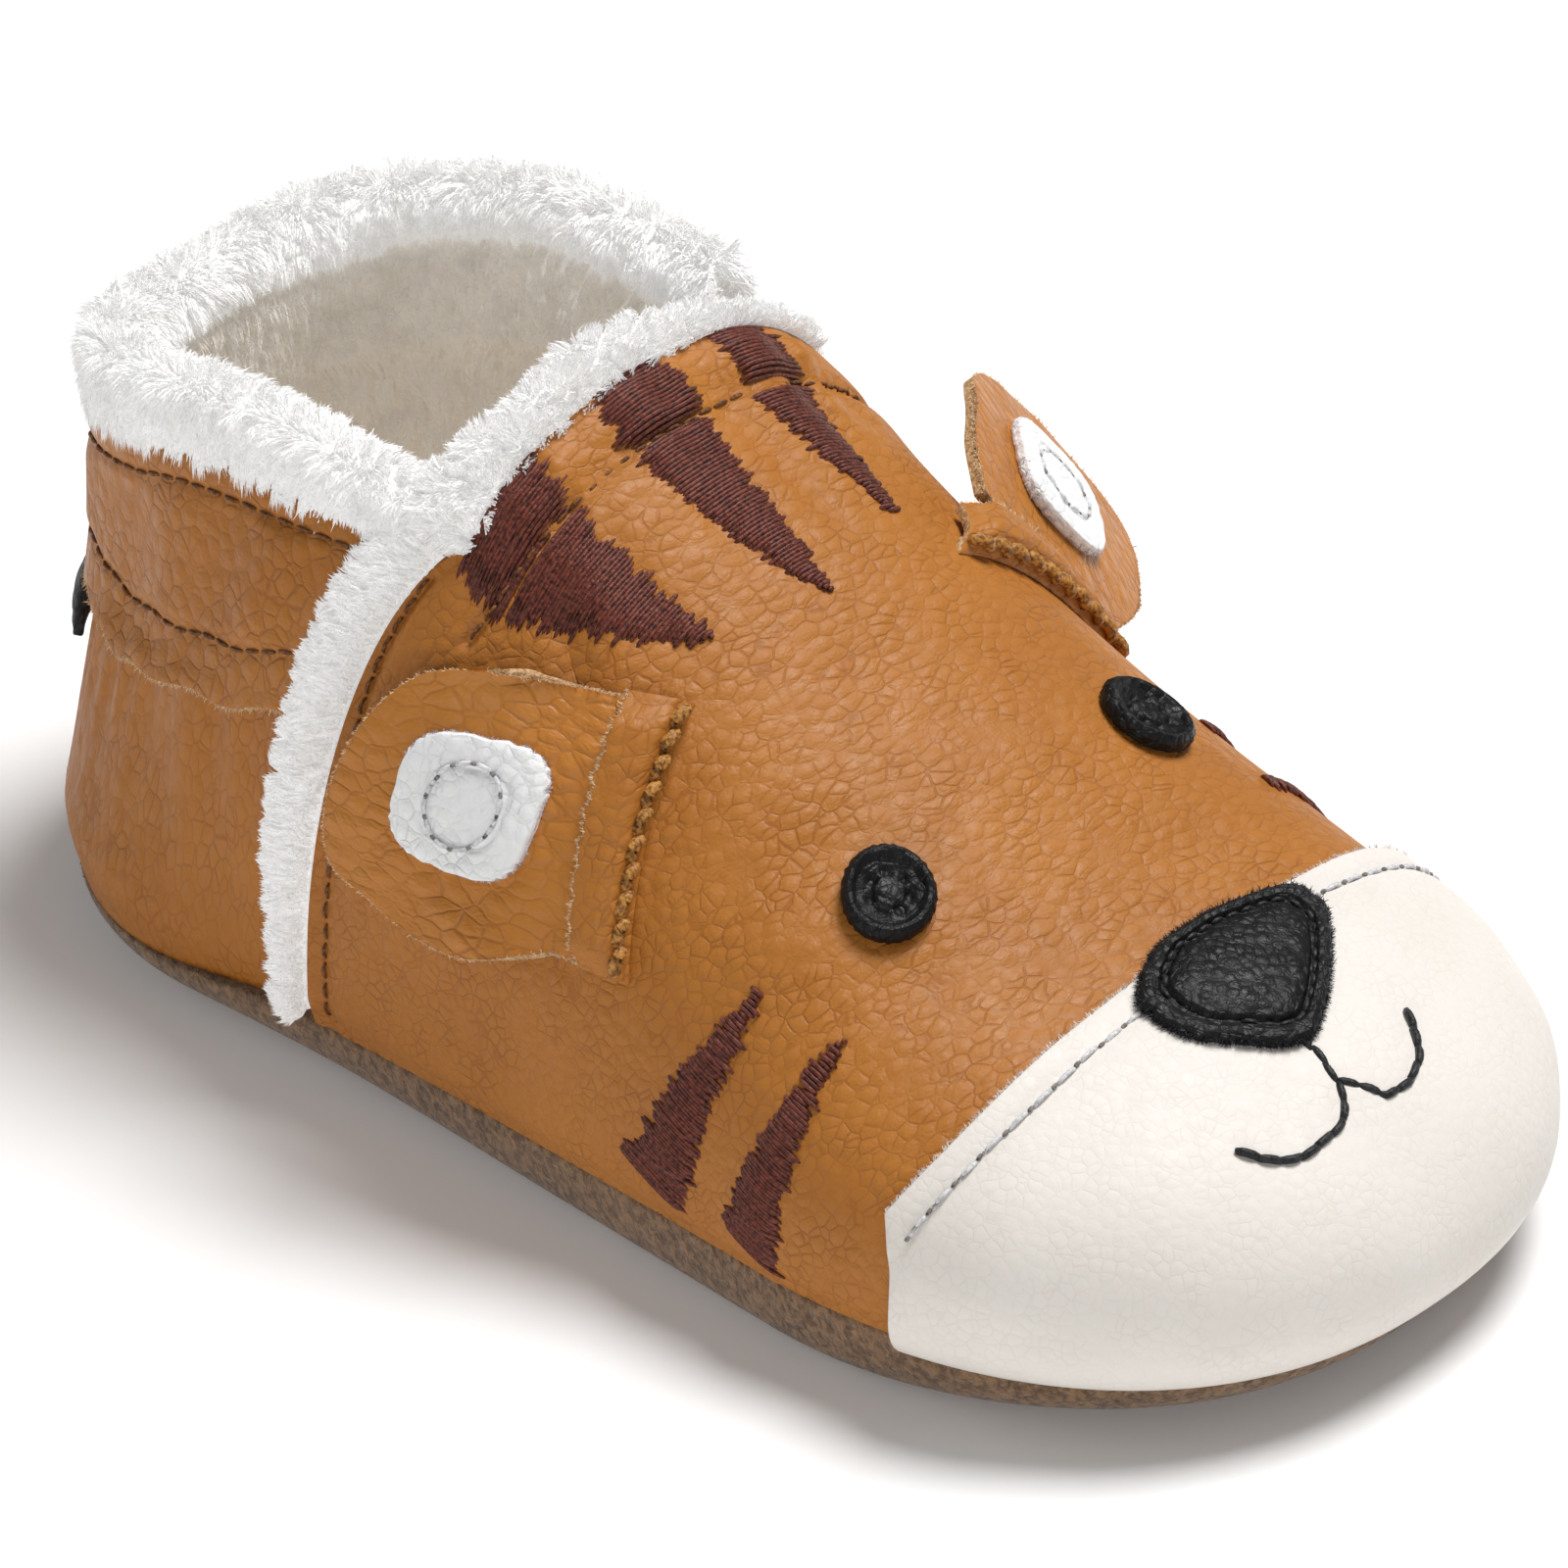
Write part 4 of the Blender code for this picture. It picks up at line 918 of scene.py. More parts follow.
def place_cap(s, r):
    """Point on the toe cap's outer face, sunk a little at its seam."""
    turn = (2 * s - 1) * (1 - 2 / 30)
    w = spaced(r, -0.9, 1.0)
    flat = toe_cap(turn, w)
    gap = flat[:, 0] - toe_cap_edge(flat[:, 1]) - CAP_STITCH_BACK
    sunk = 0.3 * hat(gap, 0.6) * smooth((flat[:, 2] - 9) / 4)
    soft = 0.25 * np.sin(flat[:, 1] * 0.31 + 1) * np.sin(flat[:, 0] * 0.37)
    return offset(toe_cap, turn, w, TOE_CAP_SEAT + TOE_CAP_THICKNESS + 0.1 - sunk + soft * smooth(r * 3))


sheet("toe_cap_leather", CAP_COLUMNS, CAP_ROWS, place_cap, [CREAM_LEATHER, CREAM_EDGE],
      ["toe_cap"], 1.2, 0.25)

# Collar band: sewn along its two long edges, the lower edge cut raw and flared.
BAND_COLUMNS = 220
BAND_ROWS = 40
BAND_FLARE = 0.8
BAND_STITCH_HIGH = 2.7
BAND_STITCH_LOW = 4.4
BAND_START = VAMP_EDGE + share_of(GAP + 2.6)


def band_point(u, height_share, lift):
    """Point on the band: height share 0 at the raw edge, 1 at the top."""
    top = read(COLLAR, "height", collar_plan(u)[..., 0]) - BAND_BELOW_TOP
    low = read(BAND_LOW, "height", collar_plan(u)[..., 0])
    low = low + 0.35 * np.sin(u * 61) + 0.25 * np.sin(u * 143 + 1)
    height = low + (top - low) * height_share
    w = (height - BELLY_Z) / (top + BAND_BELOW_TOP - BELLY_Z)
    return offset(quarter, u, w, GAP + BAND_THICKNESS + lift)


def band_depth(u, height_share):
    """Distance up the band from its raw edge, and how tall the band is there."""
    top = read(COLLAR, "height", collar_plan(u)[..., 0]) - BAND_BELOW_TOP
    low = read(BAND_LOW, "height", collar_plan(u)[..., 0])
    return height_share * (top - low), top - low


def place_band(s, r):
    """Point on the band's outer face."""
    u = BAND_START + (2 - 2 * BAND_START) * s
    up, tall = band_depth(u, r)
    free = smooth((np.abs(u - 1) - LABEL_HALF_SHARE) / 0.06)
    lift = BAND_FLARE * free * (1 - smooth(up / 3.2)) * (0.8 + 0.5 * np.sin(u * 37))
    lift -= 0.35 * hat(up - BAND_STITCH_LOW, 0.5) + 0.35 * hat(tall - up - BAND_STITCH_HIGH, 0.5)
    middle = smooth((up - BAND_STITCH_LOW) / 2) * smooth((tall - BAND_STITCH_HIGH - up) / 2)
    lift += middle * (0.1 + 0.22 * np.sin(u * 83 + 2 * np.sin(u * 29)))
    return band_point(u, r, lift)


sheet("band_leather", BAND_COLUMNS, BAND_ROWS, place_band, [BAND_LEATHER, TAN_EDGE],
      ["collar_band"], 1.1, 0.2)


def place_label(s, r):
    """Point on the bare tape across the heel."""
    u = 1 + LABEL_HALF_SHARE * (2 * s - 1)
    top = read(COLLAR, "height", collar_plan(u)[..., 0])
    w = (LABEL_LOW + (LABEL_HIGH - LABEL_LOW) * r - BELLY_Z) / (top - BELLY_Z)
    bulge = LABEL_BULGE * np.sin(r * math.pi) * np.sin(s * math.pi) ** 0.4
    return offset(quarter, u, w, 2 * GAP + LABEL_THICKNESS + bulge + LABEL_RIBS * np.sin(r * 60))


sheet("heel_tape", 40, 14, place_label, [TAPE], ["heel_label"], LABEL_THICKNESS, 0.2)


def along_path(path, share):
    """Values of a path's columns at a share of its length in steps."""
    path = np.array(path, float)
    at = share * (len(path) - 1)
    return [np.interp(at, np.arange(len(path)), column) for column in path.T]


# Sole and footbed: rings from the middle line of one face, over the rim, to that of the other.
SOLE_PATH = [(1, 0, 0, 0), (1, 0, 0, 0.5), (1, 0, 0, 1), (0.8, 0, 0, 1), (0.6, 0, 0, 1), (0.4, 0, 0, 1),
             (0.2, 0, 0, 1), (0, 0, 0, 1), (0, 1, 0, 1), (0.5, 1, 0, 1), (1, 1, 0, 1), (1, 1, 0, 0)]
FOOTBED_PATH = [(1, 1, GAP, 0), (1, 1, GAP, 1), (0.5, 1, GAP, 1), (0.5, 1, INSOLE_THICKNESS, 1),
                (1, 1, INSOLE_THICKNESS + 0.3, 1), (1, 1, INSOLE_THICKNESS + 0.3, 0)]


def place_dish(path, inset):
    """Placing function of a dished layer."""
    def place(s, r):
        u = 2 * s
        share, inner, lift, spread = along_path(path, r)
        outer_ring = sole_dish(u, share, 0.0)
        inner_ring = sole_dish(u, share, SOLE_THICKNESS)
        point = outer_ring + (inner_ring - outer_ring) * inner[:, None]
        point[:, :2] -= plan_normal(u) * inset
        point[:, 1] *= spread
        point[:, 2] += lift
        return point
    return place


def sole_dish(u, share, thickness):
    """Point of the dished sole: share is 0 at the seam and 1 at the edge of the floor contact."""
    outward = plan_normal(u)
    edge = belly(u) - outward * (TUCK - SOLE_RIM_PROUD)
    rim_z = read(SEAM, "height", edge[:, 0]) - GAP
    reach = read(CONTACT, "inset", edge[:, 0])
    down, across = quarter_turn(1 - share, SOLE_ROUNDNESS)
    plan = edge - outward * (thickness + (reach - thickness) * (1 - across))[:, None]
    height = thickness + (rim_z - thickness) * (1 - down)
    return np.concatenate([plan, height[:, None]], 1)


sheet("suede_sole", 200, 44, place_dish(SOLE_PATH, 0.0), [SOLE_SUEDE], ["outsole"], closed=True)
sheet("footbed", 160, 25, place_dish(FOOTBED_PATH, 2 * GAP), [FOOTBED_FLEECE], ["insole"],
      closed=True)

# Patches of the face: rings of radius share and height from the hidden middle to the shown one.
EYE_PATH = [(0, 0), (0.99, 0), (1.0, 0.4), (1.0, 0.8), (0.95, 1.15), (0.87, 1.4), (0.79, 1.32), (0.7, 0.95),
            (0.56, 0.78), (0.46, 0.6), (0.38, 0.62), (0.3, 0.86), (0.15, 0.92), (0, 0.92)]
NOSE_PATH = [(0, 0), (0.99, 0), (1.0, 0.4), (1.0, 0.85), (0.97, 1.05), (0.9, 1.2), (0.84, 1.1), (0.8, 0.62),
             (0.76, 0.62), (0.72, 1.1), (0.6, 1.4), (0.35, 1.52), (0, 1.55)]
PATCH_PATH = [(0, 0), (0.97, 0), (1.0, 0.3), (1.0, 0.9), (0.98, 1.12), (0.9, 1.2), (0.62, 1.2), (0.56, 1.02),
              (0.5, 1.2), (0.3, 1.3), (0, 1.3)]
NOSE_OUTLINE = [(41.05, -5.5), (39.4, -1.1), (39.25, 3.7), (39.7, 6.8), (40.3, 10.65), (41.4, 12.6),
                (43.2, 12.65), (45.8, 10.7), (49.0, 6.9), (51.4, 3.2), (52.5, 0.6), (52.1, -1.3),
                (49.8, -4.5), (47.5, -7.0), (45.2, -7.8), (43.1, -7.6)]
NOSE_MIDDLE = (45.2, 2.2)
STAR_RING = 0.42
STAR_DEPTH = 0.14
EYE_PUCKERS = 7
FRAY = 0.012


def disc(name, rim, path, place, material, node, rough=0.0, puckers=0, around=72):
    """Domed patch inside a closed outline, its cut edge a little frayed."""
    def place_disc(s, r):
        radius, height = along_path(path, r)
        angle = s * 2 * math.pi
        fray = 1 + rough * radius ** 3 * (np.sin(angle * 31) + np.sin(angle * 47 + 1))
        height = height + STAR_DEPTH * np.sin(angle * puckers) * hat(radius - STAR_RING, 0.12)
        middle, outline = rim(np.where(s > 0.99999, 0.0, s))
        return place(middle + (outline - middle) * (radius * fray)[:, None], height)
    return sheet(name, around, 6 * (len(path) - 1), place_disc, [material], [node], closed=True)


def on_vamp(x, y, height):
    """Point above the vamp's creased face over plan points."""
    flat = np.stack([x, y, dome(x, y)], -1)
    return skin(x, y, height + vamp_relief(flat))


for eye_side, eye_x, eye_y in zip(EYES["side"], EYES["x"], EYES["y"]):
    eye_slopes = slopes(eye_x, eye_y)

    def eye_rim(s):
        """Round outline of an eye in plan."""
        turn = np.stack([np.cos(s * 2 * math.pi), np.sin(s * 2 * math.pi)], -1)
        middle = np.array([eye_x, eye_y])
        return middle, middle + turn * EYE_RADIUS / np.hypot(1, eye_slopes)

    eye_name = "eye_left" if eye_side > 0 else "eye_right"
    disc(eye_name + "_leather", eye_rim, EYE_PATH, lambda p, h: skin(p[:, 0], p[:, 1], GAP + h),
         BLACK_LEATHER, eye_name, FRAY, EYE_PUCKERS)


def nose_rim(s):
    """Outline of the nose in plan, a rounded triangle."""
    ring = np.array(NOSE_OUTLINE + NOSE_OUTLINE[:1])
    even = curve(ring, 400)
    at = s * 399
    outline = np.stack([np.interp(at, np.arange(400), even[:, k]) for k in range(2)], -1)
    return np.array(NOSE_MIDDLE), outline


CAP_TOP = TOE_CAP_SEAT + TOE_CAP_THICKNESS
disc("nose_leather", nose_rim, NOSE_PATH, lambda p, h: skin(p[:, 0], p[:, 1], CAP_TOP + 0.1 + h),
     BLACK_LEATHER, "nose", 0.008, around=120)

# Ears: flap, white patch and the lip of the vamp that the flap comes out of.
EAR_LIFT = {-1: 0.9, 1: 0.0}
EDGE_WALK = np.linspace(0, 1, 120)
LIP_PATH = [(-0.4, 2.7), (0.8, 2.75), (1.9, 2.6), (2.6, 2.2), (3.1, 1.2), (3.6, 0.2)]


def ear_base(across, side):
    """x of the line that an ear turns about."""
    return EAR[side]["base_x"] + EAR[side]["slant"] * across


def ear_height(x, across, side):
    """z of a place on an ear."""
    ear = EAR[side]
    held = np.clip(x, ear["end_x"], ear["base_x"])
    return read(ear["outline"], "centre_z", held) + read(ear["outline"], "half_height", held) * across


for ear_side in (-1, 1):
    ear_name = "ear_left" if ear_side > 0 else "ear_right"

    def place_flap(s, r):
        """Point on the outer face of an ear flap."""
        across = 2 * s - 1
        ear = EAR[ear_side]
        end = ear["end_x"] + ear["round"] * (1 - round_off(np.abs(across), EAR_END_POWER))
        x = ear_base(across, ear_side) + (end - ear_base(across, ear_side)) * r
        z = ear_height(x, across, ear_side)
        puff = 0.25 * np.sin(math.pi * s) * np.sin(math.pi * r) + 0.05 * np.sin(z * 0.9 + x * 0.3)
        puff = puff + EAR_LIFT[ear_side] * smooth(r * 2) * smooth(np.maximum(-across, r) * 1.4 - 0.4)
        return ear_face(x, z, EAR_SEAT + EAR_THICKNESS + puff, ear_side)

    def place_lip(s, r):
        """Point on the outer face of the lip over the front of an ear."""
        across = (2 * s - 1) * 1.04
        ahead, height = along_path(LIP_PATH, r)
        rough = 0.1 * np.sin(across * 23) + 0.1 * np.sin(across * 51)
        x = ear_base(across, ear_side) + ahead + rough * (1 - r)
        end = 1 - 0.45 * smooth((np.abs(across) - 0.8) / 0.24)
        return ear_point(x, ear_height(x, across, ear_side), height * end, ear_side)

    def patch_rim(s):
        """Squarish outline of an ear patch."""
        turn = np.stack([np.cos(s * 2 * math.pi), np.sin(s * 2 * math.pi)], -1)
        square = np.sign(turn) * np.abs(turn) ** (2 / PATCH_SQUARENESS)
        middle = np.array([PATCH_X[ear_side], PATCH_Z[ear_side]])
        return middle, middle + square * np.array([0.93 * PATCH_HALF_LENGTH, 0.87 * PATCH_HALF_HEIGHT])

    def place_patch(plan, height):
        """Point above the ear's face."""
        return ear_face(plan[:, 0], plan[:, 1], EAR_SEAT + EAR_THICKNESS + 0.2 + height, ear_side)

    sheet(ear_name + "_flap", 60, 60, place_flap, [EAR_LEATHER, TAN_EDGE], [ear_name],
          EAR_THICKNESS, 0.15, flip=ear_side > 0)
    sheet(ear_name + "_lip", 60, 20, place_lip, [VAMP_LEATHER, TAN_EDGE], [ear_name],
          0.9, 0.15, flip=ear_side < 0)
    patch_name = "ear_patch_left" if ear_side > 0 else "ear_patch_right"
    disc(patch_name + "_leather", patch_rim, PATCH_PATH, place_patch, WHITE_LEATHER,
         patch_name, FRAY)
    ear_edge = np.concatenate([[(1, t) for t in EDGE_WALK], [(1 - t, 1) for t in EDGE_WALK],
                               [(0, 1 - t) for t in EDGE_WALK]]).astype(float)
    fuzz(ear_name + "_fuzz", place_flap, ear_edge[:, 0], ear_edge[:, 1], 3000, 0.5, TAN_FIBRE,
         40 + ear_side, depth=0.3)
    fuzz(ear_name + "_lip_fuzz", place_lip, EDGE_WALK, 0 * EDGE_WALK, 1300, 0.6, TAN_FIBRE,
         44 + ear_side, depth=0.4)
    fuzz(patch_name + "_fuzz", lambda s, r: place_patch(patch_rim(s)[0] + (patch_rim(s)[1] - patch_rim(s)[0])
                                                        * r[:, None], 0.9 + 0 * r),
         EDGE_WALK, 0 * EDGE_WALK + 1, 900, 0.45, WHITE_EDGE, 48 + ear_side)

# Fleece: soft rolls with fine hairs in clumps that lie along them.
HAIR_WIDTH = 0.19
COLLAR_START = VAMP_EDGE + share_of(COLLAR_END_GAP)
COLLAR_FAR = COLLAR_START + share_of(3.6)
COLLAR_FAR_SCALE = 0.95
PILE_STEPS = 140
COLLAR_END_ROUND = 0.03
COLLAR_PULL_IN = 0.3
COLLAR_PRESS = 0.9
COLLAR_PRESS_NEAR = 0.68
THROAT_PILE = (-0.86, 0.86)
THROAT_SHORT = 0.5
THROAT_FAR_THIN = 0.7
THROAT_NEAR_FULL = 0.6
TRIM_LOW = -0.5
TRIM_NARROW = 0.66
TRIM_PILE_TOP = {-1: 0.99, 1: 0.93}
TRIM_FLAT = 0.75


COLLAR_RUN = curve([(2.0, 1.1), (2.9, 1.3), (3.0, 4.2), (1.4, 7.2), (-1.4, 8.3), (-3.5, 7.2), (-4.3, 5.2),
                    (-3.4, 3.6), (-4.0, 1.6), (-4.0, -1.5), (-3.8, -5.0), (-2.0, -5.6)], PILE_STEPS)
CREASE = 0.6
CREASE_BARE = 0.02
THROAT_RUN = curve([(0.4, -1.7), (3.0, -3.2), (5.2, -2.2), (6.6, 0.0), (5.6, 1.5), (3.0, 1.6),
                    (0.4, 0.9), (-1.2, -0.6)], PILE_STEPS)


def run_at(run, share):
    """Point of a section run at a share of its length."""
    at = np.clip(share, 0, 1) * (len(run) - 1)
    return [np.interp(at, np.arange(len(run)), run[:, k]) for k in range(2)]


def collar_roll(a, b):
    """Collar fleece: a runs round the collar, b from the outer hem over the crown to the inside."""
    u = COLLAR_FAR + (2 - COLLAR_FAR - COLLAR_START) * a
    level = np.ones_like(u)
    ahead = quarter(u + SHARE_STEP, level) - quarter(u - SHARE_STEP, level)
    ahead[:, 2] = 0
    ahead /= np.linalg.norm(ahead, axis=1, keepdims=True)
    outward = np.stack([ahead[:, 1], -ahead[:, 0], np.zeros(len(u))], -1)
    from_end = 1 - np.abs(2 * a - 1)
    end_scale = np.where(a < 0.5, COLLAR_FAR_SCALE, COLLAR_END_SCALE)
    grow = end_scale + (1 - end_scale) * smooth(from_end / COLLAR_TAPER)
    grow = grow * round_off(1 - from_end / COLLAR_END_ROUND, 2.2)
    out, up = run_at(COLLAR_RUN, b)
    out = np.where(out > 0, out * COLLAR_PULL_IN, out)
    press = COLLAR_PRESS + (COLLAR_PRESS_NEAR - COLLAR_PRESS) * smooth((a - 0.3) / 0.4)
    up = np.where(up > 0, up * press, up)
    lump = 0.35 * np.sin(u * 31 + 2 * np.sin(u * 13)) * np.sin(b * 9 + u * 7) * np.sin(math.pi * b)
    seat = np.clip(out, COLLAR_SEAT_INNER, COLLAR_SEAT_OUTER)
    out = seat + (out - seat) * grow + lump * 0.6
    up = COLLAR_SEAT_UP + (up - COLLAR_SEAT_UP) * grow + lump
    return quarter(u, level) + outward * out[:, None] + np.array([0, 0, 1.0]) * up[:, None]


def throat_roll(a, b):
    """Throat fleece: a runs across the shoe, b from under the fold round the roll."""
    u = (THROAT_PILE[0] + (THROAT_PILE[1] - THROAT_PILE[0]) * a) * VAMP_EDGE
    level = np.ones_like(u)
    outward = normal(vamp, u, level)
    along = vamp(u + SHARE_STEP, level) - vamp(u - SHARE_STEP, level)
    along /= np.linalg.norm(along, axis=1, keepdims=True)
    back = np.cross(outward, along)
    back *= np.sign(-back[:, :1])
    reach, out = run_at(THROAT_RUN, b)
    lump = 0.4 * np.sin(u * 40 + 2 * np.sin(u * 17)) * np.sin(math.pi * b)
    grow = round_off(np.abs(2 * a - 1), 5.0) * (1 - THROAT_FAR_THIN * smooth((a - 0.42) / 0.3))
    reach = np.where(reach > 0.4, 0.4 + (reach - 0.4) * THROAT_SHORT, reach)
    reach = 0.4 + (reach - 0.4 + lump) * grow * (1 + THROAT_NEAR_FULL * smooth(1 - a / 0.3))
    return vamp(u, level) + back * reach[:, None] + outward * (out * grow)[:, None]


def trim_strip(side):
    """Fleece strip behind a side edge: a runs up the edge, b back from the edge."""
    def place(a, b):
        w = TRIM_LOW + (TRIM_PILE_TOP[side] - TRIM_LOW) * a
        width = read(TRIM, "width", w) * TRIM_NARROW
        across = np.clip(b, 0, 1)
        u = VAMP_EDGE + share_of(TRIM_SEAT - 0.6 + width * across)
        u = u if side > 0 else 2 - u
        height = read({"x": TRIM_PROFILE["across"], "h": TRIM_PROFILE["height"]}, "h", across)
        return offset(quarter, u, w, GAP + height * TRIM_FLAT - 0.3)
    return place


def nap(name, surface, count, length, flow, lift, material, seed, outward, clump=0.5, droop=0.2,
        span=(0.0, 1.0), width=HAIR_WIDTH, roll=0.25):
    """Fine hairs on a surface: they lean with the flow, gather in clumps and hang a little.

    Each hair is a narrow blade that lies on the pile and ends in a point.
    """
    dice = np.random.default_rng(seed)
    a = dice.uniform(0.003, 0.997, count)
    b = dice.uniform(*span, count)
    step = 0.004
    root = surface(a, b)
    along = surface(a + step, b) - surface(a - step, b)
    across = surface(a, np.minimum(b + step, 1)) - surface(a, np.maximum(b - step, 0))
    along /= np.maximum(np.linalg.norm(along, axis=1, keepdims=True), TINY)
    across /= np.maximum(np.linalg.norm(across, axis=1, keepdims=True), TINY)
    up = np.cross(along, across) * outward
    up /= np.maximum(np.linalg.norm(up, axis=1, keepdims=True), TINY)
    sway = (0.35 * np.sin(a * 57 + 3 * np.sin(b * 5)) + dice.normal(0, 0.2, count))[:, None]
    heading = across * flow(a, b)[:, None] + along * sway + up * lift
    heading += dice.normal(0, 0.15, (count, 3))
    heading /= np.linalg.norm(heading, axis=1, keepdims=True)
    size = (length * dice.uniform(0.55, 1.15, count))[:, None]
    tip = root + heading * size - np.array([0, 0, 1.0]) * droop * size
    guides = dice.choice(count, max(count // 24, 1), replace=False)
    tree = KDTree(len(guides))
    for index, guide in enumerate(guides):
        tree.insert(root[guide], index)
    tree.balance()
    nearest = np.array([tree.find(point)[1] for point in root])
    gather = clump * (tip[guides][nearest] - tip)
    reach = np.linalg.norm(gather, axis=1, keepdims=True)
    tip = tip + gather * np.minimum(1, 1.2 / np.maximum(reach, TINY))
    middle = (root + tip) / 2 + up * size * 0.14
    side = np.cross(heading, up + dice.normal(0, roll, (count, 3)))
    side *= width / 2 / np.maximum(np.linalg.norm(side, axis=1, keepdims=True), TINY)
    return blades(name, root - up * 0.3, middle, tip, side, material)


sheet("collar_fleece", 220, 46, collar_roll, [FLEECE], ["fleece_collar"], closed=True)
sheet("throat_fleece", 90, 30, throat_roll, [FLEECE], ["fleece_throat"], closed=True)
for trim_side in (-1, 1):
    trim_name = "left" if trim_side > 0 else "right"
    sheet("trim_fleece_" + trim_name, 70, 14, trim_strip(trim_side), [FLEECE],
          ["fleece_trim_" + trim_name], flip=trim_side > 0)
    nap("trim_hairs_" + trim_name, trim_strip(trim_side), 10000, 1.9, lambda a, b: 0.9 + 0 * a, 0.45,
        FUR_HAIR, 11 + trim_side, -trim_side, droop=0.05, span=(0.0, 0.9))

CROWN = 0.34


def from_crown(a, b):
    """Hairs lean away from the crown of the roll on both sides."""
    return 0.9 * np.clip((b - CROWN) / 0.2, -1, 1)


def place_lining_pile(a, b):
    """Face of the lining that the foot opening shows."""
    return place_lining(a, 0.3 + 0.69 * b)


nap("collar_hairs_outer", collar_roll, 32000, 2.5, from_crown, 0.35, FUR_HAIR, 3, 1, span=(0.02, CROWN))
nap("collar_hairs_inner", collar_roll, 24000, 2.2, from_crown, 0.35, FUR_HAIR, 5, 1,
    span=(CROWN, CREASE - CREASE_BARE))
nap("collar_hairs_low", collar_roll, 14000, 2.4, from_crown, 0.35, LINING_HAIR, 6, 1,
    span=(CREASE + CREASE_BARE, 0.98), width=0.27)
nap("throat_hairs", throat_roll, 14000, 1.7, lambda a, b: 0.9 - 1.8 * b, 0.6, FUR_HAIR, 7, -1,
    span=(0.1, 1.0))
nap("lining_hairs", place_lining_pile, 15000, 2.8, lambda a, b: -0.8 + 0 * a, 0.4, LINING_HAIR, 9, -1,
    width=0.28)

# Stitches and embroidery
PATCH_RING = 3.0
NOSE_RING = 0.8
STITCH_SUNK = 0.3


def stitches(name, low, high, pitch, share, radius, rise_height, material, slot, wobble=0.0, slant=0.0,
             phase=0.5):
    """Row of stitches along a line: low is the line on the face, high the same line a millimetre up."""
    step = np.linalg.norm(np.diff(low, axis=0), axis=1)
    reach = np.concatenate([[0], np.cumsum(step)])
    count = int(reach[-1] / pitch)
    dice = np.random.default_rng(count)
    centre = (np.arange(count) + phase) * reach[-1] / count
    spread = np.array([-0.5, -0.42, -0.2, 0.0, 0.2, 0.42, 0.5]) * pitch * share
    at = np.clip(centre[:, None] + spread, 0, reach[-1])
    base = np.stack([np.interp(at, reach, low[:, k]) for k in range(3)], -1)
    top = np.stack([np.interp(at, reach, high[:, k]) for k in range(3)], -1)
    up = top - base
    up /= np.linalg.norm(up, axis=-1, keepdims=True)
    ahead = np.gradient(base, axis=1)
    aside = np.cross(ahead, up)
    aside /= np.maximum(np.linalg.norm(aside, axis=-1, keepdims=True), TINY)
    arch = np.array([-0.9, 0.1, 0.85, 1.0, 0.85, 0.1, -0.9]) * rise_height
    sway = dice.normal(0, wobble, count)[:, None, None] + slant * spread[None, :, None]
    lines = base + up * arch[:, None] + aside * sway
    radii = radius * np.array([0.5, 0.9, 1, 1, 1, 0.9, 0.5])
    return strands(name, lines, radii[None], material, sides=6)


for hem_name, hem_line in zip(("throat", "side_left", "side_right"), HEMS):
    up_line = skin(hem_line[:, 0], hem_line[:, 1], 1.0) - skin(hem_line[:, 0], hem_line[:, 1], 0.0)
    sunk_line = hem_line - up_line * STITCH_SUNK
    stitches("hem_stitches_" + hem_name, sunk_line, sunk_line + up_line, 1.8, 0.8, 0.16, 0.18,
             HEM_THREAD, "tan_leather", 0.06)

for band_row, stitch_at in (("high", -BAND_STITCH_HIGH), ("low", BAND_STITCH_LOW)):
    u = np.linspace(BAND_START + 0.004, 2 - BAND_START - 0.004, 500)
    tall = band_depth(u, np.ones_like(u))[1]
    share = np.where(stitch_at < 0, 1 + stitch_at / tall, stitch_at / tall)
    rows = [band_point(u, share, up - STITCH_SUNK) for up in (0.0, 1.0)]
    stitches("band_stitches_" + band_row, *rows, 2.0, 0.85, 0.17, 0.2, HEM_THREAD, "tan_leather", 0.06)

cap_y = np.linspace(-30.5, 30.5, 300)
cap_x = toe_cap_edge(cap_y) + CAP_STITCH_BACK
cap_y = np.clip(cap_y, -half_width(cap_x) * 0.985, half_width(cap_x) * 0.985)
rows = [skin(cap_x, cap_y, CAP_TOP - 0.15 + up) for up in (0.0, 1.0)]
stitches("cap_stitches", *rows, 2.7, 0.8, 0.2, 0.22, SILVER_THREAD, "cream_leather", 0.05)

for ear_side in (-1, 1):
    across = np.linspace(-1.0, 1.0, 200)
    x = ear_base(across, ear_side) + 3.2
    z = ear_height(x, across, ear_side)
    rows = [ear_point(x, z, 1.05 + up + 0 * x, ear_side) for up in (0.0, 1.0)]
    stitches("ear_stitches_left" if ear_side > 0 else "ear_stitches_right", *rows, 2.1, 1.0, 0.55, 0.42,
             EAR_THREAD, "tan_leather", 0.08, 0.3)

# Short grey marks between the cap's stitches: painted shade in the needle holes.
rows = [skin(cap_x, cap_y, CAP_TOP - 0.05 + up) for up in (0.0, 1.0)]
stitches("cap_hole_shade", *rows, 2.7, 0.2, 0.17, 0.05, HOLE_SHADE, "cream_leather", 0.05, phase=0.0)

